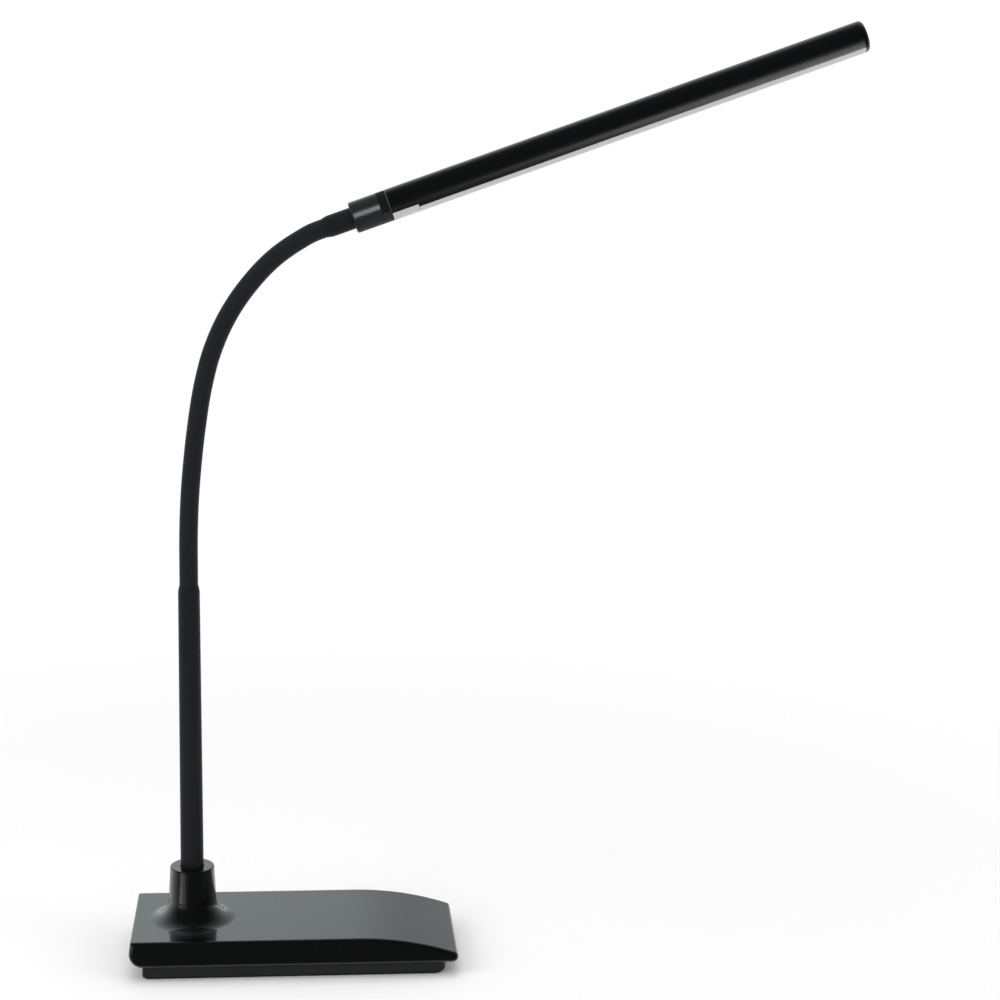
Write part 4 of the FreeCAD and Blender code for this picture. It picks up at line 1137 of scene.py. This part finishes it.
class LAMP_OT_tube(bpy.types.Operator):
    """Builds the head's tube, open underneath"""

    bl_idname = "lamp.tube"
    bl_label = "Head tube"

    def execute(self, context):
        block = BLOCK_ANGLE + STRIP_GAP
        strip = STRIP_ANGLE + STRIP_GAP
        stations = [(ADAPTER_END + 0.02, block, 0.12), (ADAPTER_END + 0.08, block, 0.04)]
        stations += [(ADAPTER_END + 0.16, block, 0.0), (BLOCK_END - 0.02, block, 0.0)]
        stations += [(BLOCK_END + 0.04, strip, 0.0)]
        stations += [(s, strip, 0.0) for s in np.linspace(60, TUBE_END - 0.2, 12)]
        stations += [(TUBE_END - 0.1, strip, 0.04), (TUBE_END, strip, 0.12)]
        sections = []
        for s, half, inset in stations:
            outline = open_ring(TUBE_RADIUS - inset, TUBE_INNER + inset, half, 360 - half, 0.25, 120)
            sections.append((s, outline))
        build_piece("tube", carried(sections), "head", "tube_aluminium", ["head_tube"], place=head_place())
        return {"FINISHED"}


class LAMP_OT_strip(bpy.types.Operator):
    """Builds the opal strip and the pale block at its near end"""

    bl_idname = "lamp.strip"
    bl_label = "Light strip"

    def execute(self, context):
        stations = [(BLOCK_END + 0.1, 0.1), (BLOCK_END + 0.2, 0.0), (170, 0.0)]
        stations += [(TUBE_END - 0.1, 0.0), (TUBE_END, 0.1)]
        self.pale_piece("strip", STRIP_ANGLE, stations, "opal_plastic", "diffuser")
        stations = [(ADAPTER_END + 0.02, 0.15), (ADAPTER_END + 0.2, 0.0)]
        stations += [(BLOCK_END - 0.2, 0.0), (BLOCK_END, 0.15)]
        self.pale_piece("end_block", BLOCK_ANGLE, stations, "block_plastic", "diffuser_end_block")
        return {"FINISHED"}

    def pale_piece(self, name, half, stations, slot, node):
        """A band that fills the tube's opening, through stations of (distance, inset)."""
        sections = []
        for s, inset in stations:
            sections.append((s, open_ring(TUBE_RADIUS - inset, TUBE_INNER + 0.1, -half, half, 0.2, 48)))
        build_piece(name, carried(sections), "head", slot, [node], place=head_place())


class LAMP_OT_cap(bpy.types.Operator):
    """Builds the rounded cap at the head's far end"""

    bl_idname = "lamp.cap"
    bl_label = "End cap"

    def execute(self, context):
        far = TUBE_END + CAP_THICKNESS
        inner = TUBE_INNER - 1.5
        outline = rounded(
            [
                (TUBE_END - SPIGOT_LENGTH, 0.5, 0),
                (TUBE_END - SPIGOT_LENGTH, inner, 0.4),
                (TUBE_END + 0.05, inner, 0),
                (TUBE_END + 0.05, TUBE_RADIUS, 0.15),
                (far - 0.35, TUBE_RADIUS, 2.1),
                (far, 0.5, 0),
            ],
            10,
        )
        turns = np.linspace(0, 2 * math.pi, segments() + 1)[:-1]
        rings = [[(s, r * math.cos(a), r * math.sin(a)) for a in turns] for s, r in outline]
        build_piece("cap", capped_stack(rings), "head", "cap_plastic", ["end_cap"], place=head_place())
        return {"FINISHED"}


# Studio


def area_lamp(name, power, size, place, aim, spin=0.0, mirrors=()):
    """A rectangular soft light at place that faces aim.

    One with mirrors is a card instead, which lights nothing and shows only in what those pieces reflect.
    """
    data = bpy.data.lights.new(name, "AREA")
    data.shape = "RECTANGLE"
    data.size, data.size_y = size
    data.energy = power
    lamp = add_object(name, data)
    lamp.location = place
    facing = (Vector(aim) - Vector(place)).to_track_quat("-Z", "Y")
    lamp.rotation_euler = (facing @ Quaternion((0, 0, 1), math.radians(spin))).to_euler()
    lamp.visible_camera = False
    lamp.visible_glossy = bool(mirrors)
    lamp.visible_diffuse = not mirrors
    if mirrors:
        lit = bpy.data.collections.new(name)
        for piece in mirrors:
            lit.objects.link(bpy.data.objects[piece])
        lamp.light_linking.receiver_collection = lit


def straight_ray(tree):
    """One for rays of the camera, of reflections and of light through a surface, and zero for the rest."""
    path = tree.nodes.new("ShaderNodeLightPath")
    seen = path.outputs["Is Camera Ray"]
    for label in ("Is Glossy Ray", "Is Transmission Ray"):
        seen = calculate(tree, "MAXIMUM", seen, path.outputs[label])
    return seen


class LAMP_OT_studio(bpy.types.Operator):
    """Builds the floor, the lights, the sky and the camera"""

    bl_idname = "lamp.studio"
    bl_label = "Studio"

    def execute(self, context):
        studio = context.scene.studio_settings
        self.floor()
        self.sky(studio.sky)
        area_lamp("Key light", studio.key, (0.9, 1.2), (-1.5, -0.9, 1.2), LIGHT_TARGET)
        area_lamp("Fill light", studio.fill, (0.8, 1.2), (1.5, -0.9, 0.9), LIGHT_TARGET)
        area_lamp("Top light", studio.top, (1.4, 1.4), (0.0, 0.1, 1.9), LIGHT_TARGET)
        for name, power, size, place, aim, spin, mirror in CARDS:
            area_lamp(name, power, size, place, aim, spin=spin, mirrors=(mirror,))
        self.camera(studio.focal_length)
        return {"FINISHED"}

    def floor(self):
        """A pale floor that keeps the lamp's shadow and turns plain white further out."""
        mesh = bpy.data.meshes.new("floor")
        reach = FLOOR_REACH
        corners = [(-reach, -reach, 0), (reach, -reach, 0), (reach, reach, 0), (-reach, reach, 0)]
        mesh.from_pydata(corners, [], [(0, 1, 2, 3)])
        floor = add_object("floor", mesh)
        material = bpy.data.materials.new("floor")
        material.use_nodes = True
        tree = material.node_tree
        shader = tree.nodes["Principled BSDF"]
        shader.inputs["Base Color"].default_value = (0.96, 0.96, 0.96, 1)
        shader.inputs["Roughness"].default_value = 0.9
        shader.inputs["Specular IOR Level"].default_value = 0.0
        lit = shader.outputs["BSDF"]
        place = tree.nodes.new("ShaderNodeTexCoord").outputs["Object"]
        far = add_node(tree, "VectorMath", {0: place}, operation="LENGTH").outputs["Value"]
        fade = remap(tree, far, *FLOOR_FADE, shape="SMOOTHSTEP")
        glow = add_node(tree, "Emission", {"Strength": 1.0}).outputs["Emission"]
        near = add_node(tree, "MixShader", {"Fac": fade, 1: lit, 2: glow}).outputs["Shader"]
        shown = add_node(tree, "MixShader", {"Fac": straight_ray(tree), 1: lit, 2: near})
        feed(tree, tree.nodes["Material Output"].inputs["Surface"], shown.outputs["Shader"])
        mesh.materials.append(material)

    def sky(self, strength):
        """An even sky that is plain white to the camera, and nearly so in reflections."""
        world = bpy.data.worlds.new("sky")
        world.use_nodes = True
        tree = world.node_tree
        lit = tree.nodes["Background"]
        lit.inputs["Color"].default_value = WHITE
        lit.inputs["Strength"].default_value = strength
        level, color = self.mirrored_light(tree)
        white = add_node(tree, "Background", {"Color": color, "Strength": level})
        inputs = {"Fac": straight_ray(tree), 1: lit.outputs["Background"], 2: white.outputs["Background"]}
        shown = add_node(tree, "MixShader", inputs)
        feed(tree, tree.nodes["World Output"].inputs["Surface"], shown.outputs["Shader"])
        bpy.context.scene.world = world

    def mirrored_light(self, tree):
        """White for the camera; in reflections the sky is a little cool and falls off towards the right."""
        place = tree.nodes.new("ShaderNodeTexCoord").outputs["Generated"]
        across = add_node(tree, "SeparateXYZ", {"Vector": place}).outputs["X"]
        fall = remap(tree, across, *MIRRORED_FALL, "SMOOTHSTEP")
        camera_ray = tree.nodes.new("ShaderNodeLightPath").outputs["Is Camera Ray"]
        level = calculate(tree, "MAXIMUM", fall, camera_ray)
        tint = add_node(tree, "Mix", {0: camera_ray, 6: MIRRORED_TINT, 7: WHITE}, data_type="RGBA")
        return level, tint.outputs[2]

    def camera(self, focal_length):
        """The camera of the photograph: it turns by its pan, pitch and roll."""
        data = bpy.data.cameras.new("camera")
        data.lens = focal_length
        data.sensor_width = 36.0
        data.clip_start = 0.01
        data.clip_end = 50.0
        pan, pitch, roll = (math.radians(a) for a in CAMERA_TURN)
        ahead = Vector((math.sin(pan) * math.cos(pitch), math.cos(pan) * math.cos(pitch), -math.sin(pitch)))
        level = Vector((math.cos(pan), -math.sin(pan), 0))
        upright = level.cross(ahead)
        right = level * math.cos(roll) + upright * math.sin(roll)
        up = upright * math.cos(roll) - level * math.sin(roll)
        camera = add_object("camera", data)
        turn = Matrix((right, up, -ahead)).transposed()
        camera.matrix_world = Matrix.Translation(CAMERA_PLACE) @ turn.to_4x4()
        bpy.context.scene.camera = camera


PIECES = (
    LAMP_OT_frame_finishes,
    LAMP_OT_cover,
    LAMP_OT_tray,
    LAMP_OT_stem,
    LAMP_OT_neck,
    LAMP_OT_ferrule,
    LAMP_OT_adapter,
    LAMP_OT_tube,
    LAMP_OT_strip,
    LAMP_OT_cap,
    LAMP_OT_studio,
)


class LAMP_PT_panel(bpy.types.Panel):
    """Lists the lamp's settings and operators"""

    bl_label = "Gooseneck desk lamp"
    bl_idname = "LAMP_PT_panel"
    bl_space_type = "VIEW_3D"
    bl_region_type = "UI"
    bl_category = "Lamp"

    def draw(self, context):
        layout = self.layout
        for settings in (context.scene.lamp_settings, context.scene.studio_settings):
            for name in settings.__annotations__:
                layout.prop(settings, name)
        for piece in PIECES:
            layout.operator(piece.bl_idname)


CLASSES = (LampSettings, StudioSettings, *PIECES, LAMP_PT_panel)


def register():
    """Makes the classes and settings known to Blender."""
    for item in CLASSES:
        bpy.utils.register_class(item)
    bpy.types.Scene.lamp_settings = PointerProperty(type=LampSettings)
    bpy.types.Scene.studio_settings = PointerProperty(type=StudioSettings)


def unregister():
    """Takes them away again."""
    del bpy.types.Scene.studio_settings
    del bpy.types.Scene.lamp_settings
    for item in reversed(CLASSES):
        bpy.utils.unregister_class(item)


def main():
    """Builds the whole scene."""
    register()
    bpy.context.scene.view_settings.view_transform = "Standard"
    for piece in PIECES:
        group, name = piece.bl_idname.split(".")
        getattr(getattr(bpy.ops, group), name)()


if __name__ == "__main__":
    main()
